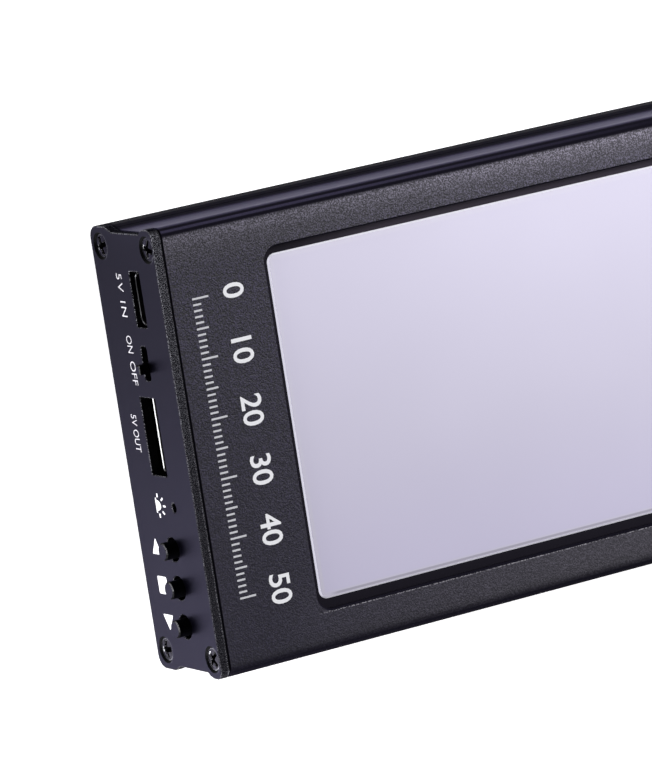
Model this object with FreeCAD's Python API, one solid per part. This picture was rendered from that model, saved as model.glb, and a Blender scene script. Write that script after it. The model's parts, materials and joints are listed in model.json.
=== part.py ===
import FreeCAD, Part
import math
import os

# A handheld antenna analyzer, 130 x 75 x 22 mm. Two aluminium shells make a flat
# tube, closed by a plate at each end. The display looks out of the front shell, the
# sockets, power switch and buttons out of the port plate, and two threaded RF jacks
# stand out of the RF plate. One board under the display carries all of these.
#
# Frame, in millimetres: origin at the centre of the back face, +X from the port plate
# to the RF plate, +Z from the back to the display.

V = FreeCAD.Vector

# Working allowances
LONG_CUT = 10.0           # a long cutter runs this far past the case
OVER = 1.0                # a short cutter runs this far past its face
PICK = 0.02               # an edge counts as in a plane within this

# Case
LENGTH = 130.0            # over both end plates
WIDTH = 75.0
DEPTH = 22.0              # back face to front face
PLATE_THICK = 1.8
PLATE_EDGE = 0.15         # broken outer edge of an end plate
SEAM_EDGE = 0.2           # broken edges where shell and plate meet
HOLE_EDGE = 0.12          # broken edges round the port plate's holes
SPLIT_EDGE = 0.15         # depth of the V along the joint between the shells
BACK_CORNER = 2.2         # radius along the back's long edges
FRONT_CORNER = 1.7        # radius along the front's long edges
FLOOR_WALL = 1.5
FRONT_WALL = 1.5
SIDE_WALL = 1.6
GROOVE_DEPTH = 0.85       # shallow groove along each long side
GROOVE_START = 7.7        # back face to the groove's floor
GROOVE_SLOPE = 2.2        # height of the slope between back ridge and groove
GROOVE_EASE = 0.4
SPLIT_HEIGHT = 6.5        # back face to the joint between the shells
TONGUE_THICK = 0.8
TONGUE_HIGH = 1.0
TONGUE_GAP = 0.1

# Countersunk screws, four in each end plate
SCREW_SIDE_MARGIN = 1.0   # countersink's mouth to the case's side
SCREW_BACK_MARGIN = 0.9
SCREW_FRONT_MARGIN = 0.2
SCREW_RADIUS = 1.25
SCREW_LONG = 8.0
SCREW_HEAD_RADIUS = 1.95
SCREW_SUNK = 0.35         # plate face to the head's rim
SCREW_DOME = 0.2
SCREW_SEAT_GAP = 0.03
SCREW_THREAD_GAP = 0.05
SCREW_PLATE_GAP = 0.15
SCREW_END_GAP = 0.6       # screw's tip to the end of its hole
SCREW_TURNS = (-15, 15, -4, 45)  # where each screw stops, in degrees
RECESS_WIDE = 3.15
RECESS_FOOT = 1.8
RECESS_THICK = 0.92
RECESS_DEEP = 0.85        # head's rim to the recess's floor
PORT_WALL = 0.65          # shell wall round a screw's thread

# Display window and the stack behind it
WINDOW_PORT_MARGIN = 19.9
WINDOW_RF_MARGIN = 8.4
WINDOW_SIDE_MARGIN = 6.95
WINDOW_CORNER = 2.5
WINDOW_EDGE = 0.25
GLASS_BORDER = 1.45       # window's edge to the glass
GLASS_CORNER = 1.5
GLASS_THICK = 0.7
GLASS_BEVEL = 0.25
GLASS_PROUD = 0.25        # glass above its black bezel
GLASS_GAP = 0.05
GASKET_THICK = 0.75
GASKET_INSET = 0.4
MODULE_LAP = 1.75         # display module past the window, at each end
MODULE_SIDE_GAP = 0.3
TRAY_HIGH = 2.6
TRAY_WALL = 0.3
TRAY_GAP = 0.05
PANEL_THICK = 1.3
TAPE_THICK = 0.15
TAPE_WIDE = 5.0
TAPE_INSET = 6.0
FLEX_WIDE = 26.0
FLEX_THICK = 0.2
FLEX_LONG = 8.0
FLEX_LIFT = 0.05          # tray's notch under the flex
FLEX_SOCKET_DEEP = 4.5
FLEX_SOCKET_WIDE = 30.0
FLEX_SOCKET_ROOF = 0.5
FLEX_GRIP = 3.0
FLEX_MOUTH_GAP = 0.05

# Main board
BOARD_THICK = 1.2
BOARD_END_GAP = 0.6
BOARD_EDGE_GAP = 0.35
BOARD_SLOT_GAP = 0.1
RAIL_THICK = 1.0
RAIL_REACH = 1.15

# Gaps along the port edge, from +Y; they stretch alike to fill the board's width
USBC_GAP = 3.73           # board's rail to the USB-C socket
SWITCH_GAP = 1.98         # USB-C socket to the slide switch
USBA_GAP = 1.5
LIGHT_GAP = 4.15
KEY_GAP = 3.25            # charge light to the first button's switch
LAST_GAP = 1.45           # last button's switch to the board's rail

# USB-C socket
USBC_WIDE = 8.94
USBC_HIGH = 3.2
USBC_CORNER = 1.45
USBC_WALL = 0.3
USBC_LONG = 7.35
USBC_SUNK = 0.8           # plate's face to the socket's rim
USBC_BACK = 1.2
USBC_TONGUE_WIDE = 6.69
USBC_TONGUE_THICK = 0.7
USBC_TONGUE_SUNK = 0.9
USBC_PLATE_GAP = 0.2
USBC_MOUTH_CORNER = 0.4
USBC_FLARE = 0.12         # lead-in round the shell's mouth

# USB-A socket
USBA_DROP = 4.0           # board's underside to the socket's centre
USBA_WIDE = 13.1
USBA_HIGH = 5.7
USBA_CORNER = 0.6
USBA_WALL = 0.3
USBA_FLARE = 0.24
USBA_LONG = 14.0
USBA_SUNK = 2.3
USBA_BACK = 3.0
USBA_RISER = 0.6          # core behind the shell, up to the board
USBA_TONGUE_WIDE = 11.1
USBA_TONGUE_THICK = 1.84
USBA_TONGUE_FLOOR = 0.75
USBA_TONGUE_SUNK = 0.9
USBA_MOUTH_SIDE_GAP = 0.3 # mouth in the plate past the socket's inside
USBA_MOUTH_TOP_GAP = 0.15
USBA_MOUTH_CORNER = 0.3

# Slide switch
SWITCH_DROP = 2.5
SWITCH_SET_BACK = 0.5     # plate's inner face to the switch's case
SWITCH_WIDE = 8.6         # over its case
SWITCH_LONG = 4.3
SWITCH_WALL = 0.3
SWITCH_BASE = 1.2
SWITCH_TRAVEL = 1.5
SWITCH_RUN_GAP = 0.06
SWITCH_STOP_GAP = 0.3     # knob to the end of the slot in the switch's case
KNOB_WIDE = 1.6
KNOB_THICK = 1.35
KNOB_PROUD = 1.7
KNOB_EDGE = 0.15
KNOB_BLOCK_WIDE = 4.0
SLOT_END_GAP = 1.35
SLOT_SIDE_GAP = 0.38
SLOT_ROUND = 0.3          # corner radius as a share of the slot's height

# Push buttons and the switches behind them
BUTTON_PITCH = 6.55
BUTTON_DROP = 3.55
BUTTON_RADIUS = 1.5
BUTTON_PROUD = 2.0
BUTTON_EDGE = 0.2
BUTTON_HOLE_GAP = 0.57
BUTTON_TRAVEL = 0.3
BUTTON_COLLAR_RADIUS = 2.25
BUTTON_COLLAR_THICK = 0.8
BUTTON_NUB_RADIUS = 1.1
BUTTON_NUB_LONG = 0.5
BUTTON_RUN_GAP = 0.06
KEY_SET_BACK = 0.6
KEY_WIDE = 6.0
KEY_DEEP = 4.4
KEY_BELOW = 3.1           # button's axis to the key's underside
KEY_COVER_THICK = 0.3
DOME_HIGH = 0.35
DOME_THICK = 0.12
DOME_CLEAR = 0.12         # pressed button's nub to the dome

# Charge light
LIGHT_DROP = 0.75
LIGHT_HOLE_RADIUS = 0.8
LIGHT_WIDE = 2.0
LIGHT_DEEP = 1.25
LIGHT_HIGH = 1.5
LIGHT_SET_BACK = 0.65

# RF jacks
JACK_SPACING = 38.0
JACK_DROP = 4.05
JACK_THREAD_RADIUS = 3.175
JACK_MEAN_RADIUS = 2.95   # half way down the thread, where the nut grips it
JACK_PROUD = 9.4          # barrel's end above the plate's face
JACK_EDGE = 0.3
JACK_BLOCK_LONG = 6.0
JACK_BLOCK_WIDE = 8.0
JACK_PLATE_GAP = 0.15
JACK_BORE_RADIUS = 2.3
JACK_BORE_DEEP = 2.0
JACK_CORE_RADIUS = 2.05
JACK_PIN_RADIUS = 0.635
JACK_PIN_HOLE = 0.47
JACK_PIN_HOLE_DEEP = 3.0
JACK_TAIL_LONG = 1.5
WASHER_THICK = 0.5
WASHER_RADIUS = 4.6
WASHER_GAP = 0.1
NUT_THICK = 2.0
NUT_FLATS = 8.0
NUT_EDGE = 0.3
NUT_GAP = 0.03

# Parts on the board's underside
CAN_HIGH = 2.6
CAN_WALL = 0.25
CAN_LONG = 34.0
CAN_WIDE = 26.0
CAN_CORNER = 0.8
CAN_RF_GAP = 12.0         # RF plate's inner face to the cans
CAN_APART = 6.0
CHIP_THICK = 1.0
RF_CHIP_SIDE = 5.0
RF_CHIP_PITCH = 8.0
PROCESSOR_SIDE = 12.0
PROCESSOR_THICK = 1.4
PROCESSOR_FROM_PORT = 42.0
PROCESSOR_FROM_EDGE = 22.7  # board's +Y edge to the processor's centre
BOARD_CHIP_SIDE = 4.0
BOARD_CHIP_PITCH = 9.0
BOARD_CHIP_FROM_PORT = 24.0
BOARD_CHIP_FROM_EDGE = 10.7
COIL_SIDE = 6.0
COIL_THICK = 3.0
COIL_FROM_PORT = 24.0
COIL_FROM_EDGE = 20.7

# Battery and its lead
CELL_PORT_GAP = 30.0      # port plate's inner face to the battery
CELL_RF_GAP = 14.0
CELL_WIDE = 54.0
CELL_THICK = 6.7
CELL_CORNER = 2.0
CELL_TAPE_THICK = 0.8
CELL_TAPE_WIDE = 9.0
CELL_TAPE_INSET = 8.0
FOAM_WIDE = 12.0
CELL_BOARD_DEEP = 3.5
CELL_BOARD_WIDE = 24.0
CELL_BOARD_THICK = 0.8
CELL_BOARD_Y = -9.0
LEAD_Y = -15.0
LEAD_RADIUS = 0.6
LEAD_PITCH = 2.0
LEAD_RUN = 8.0            # battery's board to the plug's centre line
LEAD_BEND = 2.2
PLUG_WIDE = 6.0
PLUG_DEEP = 4.5
PLUG_IN = 2.1             # plug inside its socket
PLUG_OUT = 0.7            # plug outside its socket
PLUG_GAP = 0.1
SOCKET_WIDE = 7.6
SOCKET_DEEP = 5.6
SOCKET_HIGH = 3.2

BUTTON_NAMES = ("up", "select", "down")

# Places worked out from the sizes above
PORT_FACE = -LENGTH / 2
PORT_IN = PORT_FACE + PLATE_THICK
RF_FACE = LENGTH / 2
RF_IN = RF_FACE - PLATE_THICK
SIDE = WIDTH / 2
GROOVE_Y = SIDE - GROOVE_DEPTH
WALL_Y = GROOVE_Y - SIDE_WALL
WALL_Z = DEPTH - FRONT_WALL
MOUTH_RADIUS = SCREW_HEAD_RADIUS + SCREW_SUNK
LOBE_RADIUS = MOUTH_RADIUS + SCREW_SIDE_MARGIN
SCREW_Y = SIDE - LOBE_RADIUS
SCREW_BACK_Z = MOUTH_RADIUS + SCREW_BACK_MARGIN
SCREW_FRONT_Z = DEPTH - MOUTH_RADIUS - SCREW_FRONT_MARGIN
PORT_HALF = SCREW_RADIUS + PORT_WALL
RIB_Y = SCREW_Y - PORT_HALF
WINDOW_X = (PORT_FACE + WINDOW_PORT_MARGIN, RF_FACE - WINDOW_RF_MARGIN)
WINDOW_Y = SIDE - WINDOW_SIDE_MARGIN
BEZEL_TOP = WALL_Z - GASKET_THICK
GLASS_TOP = BEZEL_TOP + GLASS_PROUD
TRAY_TOP = GLASS_TOP - GLASS_THICK
TRAY_FOOT = TRAY_TOP - TRAY_HIGH
BOARD_TOP = TRAY_FOOT - TAPE_THICK
UNDER = BOARD_TOP - BOARD_THICK
USBC_Z = UNDER - USBC_HIGH / 2
USBA_Z = UNDER - USBA_DROP
SWITCH_Z = UNDER - SWITCH_DROP
BUTTON_Z = UNDER - BUTTON_DROP
LIGHT_Z = UNDER - LIGHT_DROP
JACK_Z = UNDER - JACK_DROP
RAIL_Y = WALL_Y - RAIL_REACH
BUTTONS_WIDE = (len(BUTTON_NAMES) - 1) * BUTTON_PITCH + KEY_WIDE
BOARD_Y = WALL_Y - BOARD_EDGE_GAP
ROW_PARTS = USBC_WIDE + SWITCH_WIDE + USBA_WIDE + LIGHT_WIDE + BUTTONS_WIDE
ROW_GAPS = USBC_GAP + SWITCH_GAP + USBA_GAP + LIGHT_GAP + KEY_GAP + LAST_GAP
ROW_STRETCH = (2 * RAIL_Y - ROW_PARTS) / ROW_GAPS
USBC_Y = RAIL_Y - ROW_STRETCH * USBC_GAP - USBC_WIDE / 2
SWITCH_Y = USBC_Y - ROW_STRETCH * SWITCH_GAP - (USBC_WIDE + SWITCH_WIDE) / 2
USBA_Y = SWITCH_Y - ROW_STRETCH * USBA_GAP - (SWITCH_WIDE + USBA_WIDE) / 2
LIGHT_Y = USBA_Y - ROW_STRETCH * LIGHT_GAP - (USBA_WIDE + LIGHT_WIDE) / 2
BUTTON_FIRST_Y = LIGHT_Y - ROW_STRETCH * KEY_GAP - (LIGHT_WIDE + KEY_WIDE) / 2
KNOB_Y = SWITCH_Y - SWITCH_TRAVEL / 2
CELL_FOOT = FLOOR_WALL + CELL_TAPE_THICK
CELL_TOP = CELL_FOOT + CELL_THICK
CELL_X = (PORT_IN + CELL_PORT_GAP, RF_IN - CELL_RF_GAP)


# Building blocks

def span(centre, width):
    """Low and high end of a width about its centre."""
    return (centre - width / 2, centre + width / 2)


def grown(pair, by):
    """A (low, high) pair made longer by the same amount at both ends."""
    return (pair[0] - by, pair[1] + by)


def box(x, y, z):
    """Box between (low, high) pairs along each axis."""
    return Part.makeBox(x[1] - x[0], y[1] - y[0], z[1] - z[0], V(x[0], y[0], z[0]))


def rod(x, y, z, radius):
    """Cylinder along X between the two ends in x."""
    return Part.makeCylinder(radius, abs(x[1] - x[0]), V(x[0], y, z), V(x[1] - x[0], 0, 0))


def cone(x, y, z, radius_from, radius_to):
    """Cone along X from x[0], with a radius at each end."""
    way = V(x[1] - x[0], 0, 0)
    return Part.makeCone(radius_from, radius_to, way.Length, V(x[0], y, z), way)


def rectangle(a, b, radius):
    """Corners (a, b, radius) of a rectangle with rounded corners."""
    return [(a[0], b[0], radius), (a[1], b[0], radius), (a[1], b[1], radius), (a[0], b[1], radius)]


def rounded_corner(before, corner, after, radius):
    """Start, middle and end of the arc that rounds a corner, or the bare corner."""
    back = (before - corner).normalize()
    on = (after - corner).normalize()
    half_angle = back.getAngle(on) / 2
    if radius <= 0 or math.pi / 2 - half_angle < 1e-6:
        return [corner]
    reach = radius / math.tan(half_angle)
    centre = corner + (back + on).normalize() * (radius / math.sin(half_angle))
    middle = centre + (corner - centre).normalize() * radius
    return [corner + back * reach, middle, corner + on * reach]


def outline(corners, place):
    """Closed wire through (a, b, radius) corners; place turns (a, b) into a point."""
    points = [place(a, b) for a, b, _ in corners]
    rounds = []
    for i, (_, _, radius) in enumerate(corners):
        rounds.append(rounded_corner(points[i - 1], points[i], points[(i + 1) % len(points)], radius))
    edges = []
    for i, stops in enumerate(rounds):
        if len(stops) == 3:
            edges.append(Part.Arc(*stops).toShape())
        start, end = stops[-1], rounds[(i + 1) % len(rounds)][0]
        if (end - start).Length > 1e-6:
            edges.append(Part.LineSegment(start, end).toShape())
    return Part.Wire(edges)


def prism_x(corners, x):
    """Prism along X; its corners are (y, z, radius)."""
    face = Part.Face(outline(corners, lambda y, z: V(x[0], y, z)))
    return face.extrude(V(x[1] - x[0], 0, 0))


def prism_z(corners, z):
    """Prism along Z; its corners are (x, y, radius)."""
    face = Part.Face(outline(corners, lambda x, y: V(x, y, z[0])))
    return face.extrude(V(0, 0, z[1] - z[0]))


def edges_within(shape, x, y, z):
    """Edges of a shape that lie whole inside a box."""
    room = FreeCAD.BoundBox(x[0], y[0], z[0], x[1], y[1], z[1])
    return [edge for edge in shape.Edges if room.isInside(edge.BoundBox)]


def ends(shape, x):
    """Edges of a shape that lie in the plane at x."""
    bounds = shape.BoundBox
    return edges_within(shape, span(x, PICK), grown((bounds.YMin, bounds.YMax), PICK),
                        grown((bounds.ZMin, bounds.ZMax), PICK))


def single(shape):
    """The one solid that a cut or a fuse leaves."""
    return shape.Solids[0]


def mirrored(solid):
    """A solid and its mirror image across the XZ plane."""
    return [solid, solid.mirror(V(0, 0, 0), V(0, 1, 0))]


def group(solids):
    """Separate solids kept together as one piece."""
    return Part.makeCompound(solids)


# Case

def lobe_corners():
    """Where the groove's floor meets the front ridge, whose flank is round about the screw."""
    turn = math.acos((GROOVE_Y - SCREW_Y) / LOBE_RADIUS)
    foot = SCREW_FRONT_Z - LOBE_RADIUS * math.sin(turn)
    top = SCREW_FRONT_Z - LOBE_RADIUS * math.tan(turn / 2)
    return [(GROOVE_Y, foot, GROOVE_EASE), (SIDE, top, LOBE_RADIUS - GROOVE_EASE)]


def both_sides(half):
    """A closed outline from its +Y half, listed from the back to the front."""
    return half + [(-y, z, radius) for y, z, radius in reversed(half)]


def case_outline():
    """Section of the case and of both end plates."""
    front_corner = min(FRONT_CORNER, DEPTH - SCREW_FRONT_Z - PLATE_EDGE)
    half = [(SIDE, 0, BACK_CORNER),
            (SIDE, GROOVE_START - GROOVE_SLOPE, GROOVE_EASE),
            (GROOVE_Y, GROOVE_START, GROOVE_EASE)]
    half += lobe_corners() + [(SIDE, DEPTH, front_corner)]
    return both_sides(half)


def shell_blank():
    """Outer form of both shells, one solid, with the edges at both ends broken."""
    blank = prism_x(case_outline(), (PORT_IN, RF_IN))
    return single(blank.makeChamfer(SEAM_EDGE, ends(blank, PORT_IN) + ends(blank, RF_IN)))


def split_notches():
    """Cutters for the V along the joint between the shells, one on each side."""
    rise = (SPLIT_HEIGHT - GROOVE_START + GROOVE_SLOPE) / GROOVE_SLOPE
    y = SIDE - GROOVE_DEPTH * min(max(rise, 0), 1)
    corners = [(y - SPLIT_EDGE, SPLIT_HEIGHT, 0), (y, SPLIT_HEIGHT - SPLIT_EDGE, 0),
               (y + SPLIT_EDGE, SPLIT_HEIGHT, 0), (y, SPLIT_HEIGHT + SPLIT_EDGE, 0)]
    return mirrored(prism_x(corners, grown((PORT_IN, RF_IN), LONG_CUT)))


def screw_holes(z, radius, deep):
    """Cutters for the screws' threads at one height, from both end plates."""
    holes = []
    for y in (SCREW_Y, -SCREW_Y):
        holes.append(rod((PORT_IN - LONG_CUT, PORT_IN + deep), y, z, radius))
        holes.append(rod((RF_IN + LONG_CUT, RF_IN - deep), y, z, radius))
    return holes


def thread_room(z):
    """Cutters for the threaded holes in a shell."""
    deep = SCREW_LONG - PLATE_THICK + SCREW_END_GAP
    return screw_holes(z, SCREW_RADIUS + SCREW_THREAD_GAP, deep)


def front_hollow():
    """Section of the front shell's inside, with ribs for the screws and slots for the board."""
    rail_top = UNDER - BOARD_SLOT_GAP
    rail_foot = rail_top - RAIL_THICK
    rib_foot = BOARD_TOP + BOARD_SLOT_GAP
    half = [(WALL_Y, SPLIT_HEIGHT - LONG_CUT, 0), (WALL_Y, rail_foot, 0), (RAIL_Y, rail_foot, 0),
            (RAIL_Y, rail_top, 0), (WALL_Y, rail_top, 0), (WALL_Y, rib_foot, 0),
            (RIB_Y, rib_foot, 0), (RIB_Y, WALL_Z, 0)]
    return both_sides(half)


def front_shell():
    """Front half of the case, with the window."""
    long = grown((PORT_IN, RF_IN), LONG_CUT)
    shell = shell_blank().common(box(long, grown((-SIDE, SIDE), LONG_CUT),
                                     (SPLIT_HEIGHT, DEPTH + LONG_CUT)))
    groove = box(long, (WALL_Y - LONG_CUT, WALL_Y + TONGUE_THICK + TONGUE_GAP),
                 (SPLIT_HEIGHT - LONG_CUT, SPLIT_HEIGHT + TONGUE_HIGH + TONGUE_GAP))
    window = prism_z(rectangle(WINDOW_X, (-WINDOW_Y, WINDOW_Y), WINDOW_CORNER),
                     (WALL_Z - GASKET_THICK, DEPTH + LONG_CUT))
    shell = single(shell.cut([prism_x(front_hollow(), long), window] + mirrored(groove)
                             + split_notches() + thread_room(SCREW_FRONT_Z)))
    rim = edges_within(shell, grown(WINDOW_X, PICK), grown((-WINDOW_Y, WINDOW_Y), PICK),
                       span(DEPTH, PICK))
    return shell.makeChamfer(WINDOW_EDGE, rim)


def rear_shell():
    """Rear half of the case, with a tongue up each side into the front shell."""
    long = grown((PORT_IN, RF_IN), LONG_CUT)
    rib_top = SCREW_BACK_Z + PORT_HALF
    half = [(RIB_Y, FLOOR_WALL, 0), (RIB_Y, rib_top, 0), (WALL_Y, rib_top, 0),
            (WALL_Y, SPLIT_HEIGHT + LONG_CUT, 0)]
    shell = shell_blank().common(box(long, grown((-SIDE, SIDE), LONG_CUT),
                                     (-LONG_CUT, SPLIT_HEIGHT)))
    shell = shell.cut([prism_x(both_sides(half), long)] + split_notches()
                      + thread_room(SCREW_BACK_Z))
    tongue = box(grown((PORT_IN, RF_IN), -SEAM_EDGE), (WALL_Y, WALL_Y + TONGUE_THICK),
                 (SPLIT_HEIGHT, SPLIT_HEIGHT + TONGUE_HIGH))
    return shell.fuse(mirrored(tongue)).removeSplitter()


def plate_blank(face, inside):
    """End plate before its holes: outer and inner edges broken."""
    blank = prism_x(case_outline(), (min(face, inside), max(face, inside)))
    blank = single(blank.makeChamfer(SEAM_EDGE, ends(blank, inside)))
    return single(blank.makeChamfer(PLATE_EDGE, ends(blank, face)))


def screw_seats(face, inward):
    """Cutters for a plate's four countersunk holes."""
    hole = SCREW_RADIUS + SCREW_PLATE_GAP
    cutters = []
    for y in (SCREW_Y, -SCREW_Y):
        for z in (SCREW_BACK_Z, SCREW_FRONT_Z):
            foot = face + inward * (MOUTH_RADIUS - hole)
            cutters.append(cone((face, foot), y, z, MOUTH_RADIUS, hole))
            cutters.append(rod((face, face + inward * (PLATE_THICK + OVER)), y, z, hole))
    return cutters


def port_plate():
    """Plate at the port end: sockets, switch slot, light hole and button holes."""
    through = grown((PORT_FACE, PORT_IN), OVER)
    usbc = rectangle(span(USBC_Y, USBC_WIDE + 2 * USBC_PLATE_GAP),
                     span(USBC_Z, USBC_HIGH + 2 * USBC_PLATE_GAP), USBC_MOUTH_CORNER)
    usba = rectangle(span(USBA_Y, USBA_WIDE + 2 * (USBA_MOUTH_SIDE_GAP - USBA_WALL)),
                     span(USBA_Z, USBA_HIGH + 2 * (USBA_MOUTH_TOP_GAP - USBA_WALL)),
                     USBA_MOUTH_CORNER)
    slot_long = KNOB_WIDE + SWITCH_TRAVEL + 2 * SLOT_END_GAP
    slot_high = KNOB_THICK + 2 * SLOT_SIDE_GAP
    slot = rectangle(span(SWITCH_Y, slot_long), span(SWITCH_Z, slot_high), SLOT_ROUND * slot_high)
    cutters = [prism_x(corners, through) for corners in (usbc, usba, slot)]
    cutters.append(rod(through, LIGHT_Y, LIGHT_Z, LIGHT_HOLE_RADIUS))
    for index in range(len(BUTTON_NAMES)):
        cutters.append(rod(through, button_y(index), BUTTON_Z, BUTTON_RADIUS + BUTTON_HOLE_GAP))
    plate = single(plate_blank(PORT_FACE, PORT_IN).cut(cutters))
    rims = edges_within(plate, span(PORT_FACE, PICK), (-RAIL_Y, RAIL_Y),
                        grown((0, DEPTH), -PLATE_EDGE - PICK))
    return plate.makeChamfer(HOLE_EDGE, rims).cut(screw_seats(PORT_FACE, 1))


def rf_plate():
    """Plate at the RF end, with two holes for the jacks' barrels."""
    through = grown((RF_IN, RF_FACE), OVER)
    holes = [rod(through, y, JACK_Z, JACK_THREAD_RADIUS + JACK_PLATE_GAP) for y in jack_places()]
    return plate_blank(RF_FACE, RF_IN).cut(holes + screw_seats(RF_FACE, -1))


def recess_wing(rim, inward):
    """Half of the cross in a screw's head, narrowing below the rim, about the X axis."""
    mouth, floor = rim - inward * OVER, rim + inward * RECESS_DEEP
    half = [(mouth, RECESS_WIDE / 2), (rim, RECESS_WIDE / 2), (floor, RECESS_FOOT / 2)]
    corners = [V(x, y, -RECESS_THICK / 2) for x, y in half]
    corners += [V(x, -y, -RECESS_THICK / 2) for x, y in reversed(half)]
    return Part.Face(Part.makePolygon(corners + corners[:1])).extrude(V(0, 0, RECESS_THICK))


def screw(face, inward, y, z, turn):
    """Countersunk screw with a low domed head and a cross recess."""
    rim = face + inward * SCREW_SUNK
    seat = SCREW_HEAD_RADIUS - SCREW_SEAT_GAP
    neck = rim + inward * (seat - SCREW_RADIUS)
    ball = (SCREW_HEAD_RADIUS ** 2 + SCREW_DOME ** 2) / (2 * SCREW_DOME)
    dome = Part.makeSphere(ball, V(rim + inward * (ball - SCREW_DOME), 0, 0))
    dome = dome.common(rod((rim, rim - inward * SCREW_DOME), 0, 0, seat))
    head = cone((rim, neck), 0, 0, seat, SCREW_RADIUS)
    shank = rod((neck, face + inward * SCREW_LONG), 0, 0, SCREW_RADIUS)
    wing = recess_wing(rim, inward)
    other = wing.copy()
    other.rotate(V(0, 0, 0), V(1, 0, 0), 90)
    solid = dome.fuse([head, shank]).cut([wing, other]).removeSplitter()
    solid.rotate(V(0, 0, 0), V(1, 0, 0), turn)
    solid.translate(V(0, y, z))
    return solid


def plate_screws(face, inward):
    """Four screws of one end plate."""
    places = [(y, z) for y in (SCREW_Y, -SCREW_Y) for z in (SCREW_BACK_Z, SCREW_FRONT_Z)]
    return group([screw(face, inward, y, z, turn) for (y, z), turn in zip(places, SCREW_TURNS)])


# Display

def glass_size():
    """The glass's ends along X and Y."""
    return grown(WINDOW_X, -GLASS_BORDER), grown((-WINDOW_Y, WINDOW_Y), -GLASS_BORDER)


def module_size():
    """The display module's ends along X and Y."""
    half = RIB_Y - MODULE_SIDE_GAP
    return grown(WINDOW_X, MODULE_LAP), (-half, half)


def glass():
    """Cover glass with a bevelled upper edge."""
    x, y = glass_size()
    pane = prism_z(rectangle(x, y, GLASS_CORNER), (TRAY_TOP, GLASS_TOP))
    rim = edges_within(pane, grown(x, PICK), grown(y, PICK), span(GLASS_TOP, PICK))
    return pane.makeChamfer(GLASS_BEVEL, rim)


def ring(outer, inner, z, corner):
    """Flat frame between two rectangles, each given by its (x, y) ends."""
    hole = prism_z(rectangle(*inner, corner), grown(z, OVER))
    return prism_z(rectangle(*outer, 0), z).cut(hole)


def bezel():
    """Black frame round the glass, a little lower than the glass."""
    x, y = glass_size()
    hole = (grown(x, GLASS_GAP), grown(y, GLASS_GAP))
    return ring(module_size(), hole, (TRAY_TOP, BEZEL_TOP), GLASS_CORNER + GLASS_GAP)


def gasket():
    """Foam ring between the bezel and the front wall."""
    hole = (grown(WINDOW_X, GASKET_INSET), grown((-WINDOW_Y, WINDOW_Y), GASKET_INSET))
    return ring(module_size(), hole, (BEZEL_TOP, WALL_Z), WINDOW_CORNER + GASKET_INSET)


def tray_room():
    """Inside of the tray along X, Y and Z."""
    x, y = module_size()
    return grown(x, -TRAY_WALL), grown(y, -TRAY_WALL), (TRAY_FOOT + TRAY_WALL, TRAY_TOP)


def flex_height():
    """Low and high face of the flex, level with the panel's foot."""
    foot = TRAY_TOP - PANEL_THICK
    return (foot, foot + FLEX_THICK)


def tray():
    """Folded metal tray that holds the panel, notched for the flex."""
    x, y = module_size()
    room_x, room_y, room_z = tray_room()
    inside = box(room_x, room_y, (room_z[0], room_z[1] + OVER))
    notch = box((x[0] - OVER, room_x[0] + OVER), grown(span(0, FLEX_WIDE), MODULE_SIDE_GAP),
                grown(flex_height(), FLEX_LIFT))
    return box(x, y, (TRAY_FOOT, TRAY_TOP)).cut([inside, notch])


def panel():
    """Display panel, flush with the tray's rim."""
    x, y, _ = tray_room()
    return box(grown(x, -TRAY_GAP), grown(y, -TRAY_GAP), (TRAY_TOP - PANEL_THICK, TRAY_TOP))


def light_guide():
    """Light guide that fills the tray under the panel."""
    x, y, z = tray_room()
    return box(grown(x, -TRAY_GAP), grown(y, -TRAY_GAP), (z[0], TRAY_TOP - PANEL_THICK))


def display_tape():
    """Two strips of tape that hold the tray to the board."""
    x, y = module_size()
    strip = box(grown(x, -TAPE_INSET), (y[1] - TAPE_INSET - TAPE_WIDE, y[1] - TAPE_INSET),
                (BOARD_TOP, TRAY_FOOT))
    return group(mirrored(strip))


def flex_start():
    """Where the flex leaves the panel."""
    return module_size()[0][0] + TRAY_WALL + TRAY_GAP


def flex():
    """Flat ribbon from the panel to its socket."""
    x = flex_start()
    return box((x - FLEX_LONG, x), span(0, FLEX_WIDE), flex_height())


def flex_socket():
    """Socket on the board's upper side that grips the flex's end."""
    tip = flex_start() - FLEX_LONG
    high = flex_height()
    x = (tip + FLEX_GRIP - FLEX_SOCKET_DEEP, tip + FLEX_GRIP)
    body = box(x, span(0, FLEX_SOCKET_WIDE), (BOARD_TOP, high[1] + FLEX_SOCKET_ROOF))
    mouth = box((tip - FLEX_MOUTH_GAP, x[1] + OVER), grown(span(0, FLEX_WIDE), FLEX_MOUTH_GAP),
                grown(high, FLEX_MOUTH_GAP))
    return body.cut(mouth)


# Board and what it carries

def board():
    """Main board, held in the front shell's slots."""
    return box(grown((PORT_IN, RF_IN), -BOARD_END_GAP), (-BOARD_Y, BOARD_Y), (UNDER, BOARD_TOP))


def socket_shell(x, y, z, corner, wall, back, flare):
    """Metal tube open at its low X end; back is the far end's wall, below 0 for an open end."""
    outside = prism_x(rectangle(y, z, corner), x)
    inner_y, inner_z = grown(y, -wall), grown(z, -wall)
    inside = prism_x(rectangle(inner_y, inner_z, corner - wall), (x[0] - OVER, x[1] - back))
    tube = single(outside.cut(inside))
    lip = edges_within(tube, span(x[0], PICK), grown(inner_y, PICK), grown(inner_z, PICK))
    return tube.makeChamfer(flare, lip)


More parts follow.
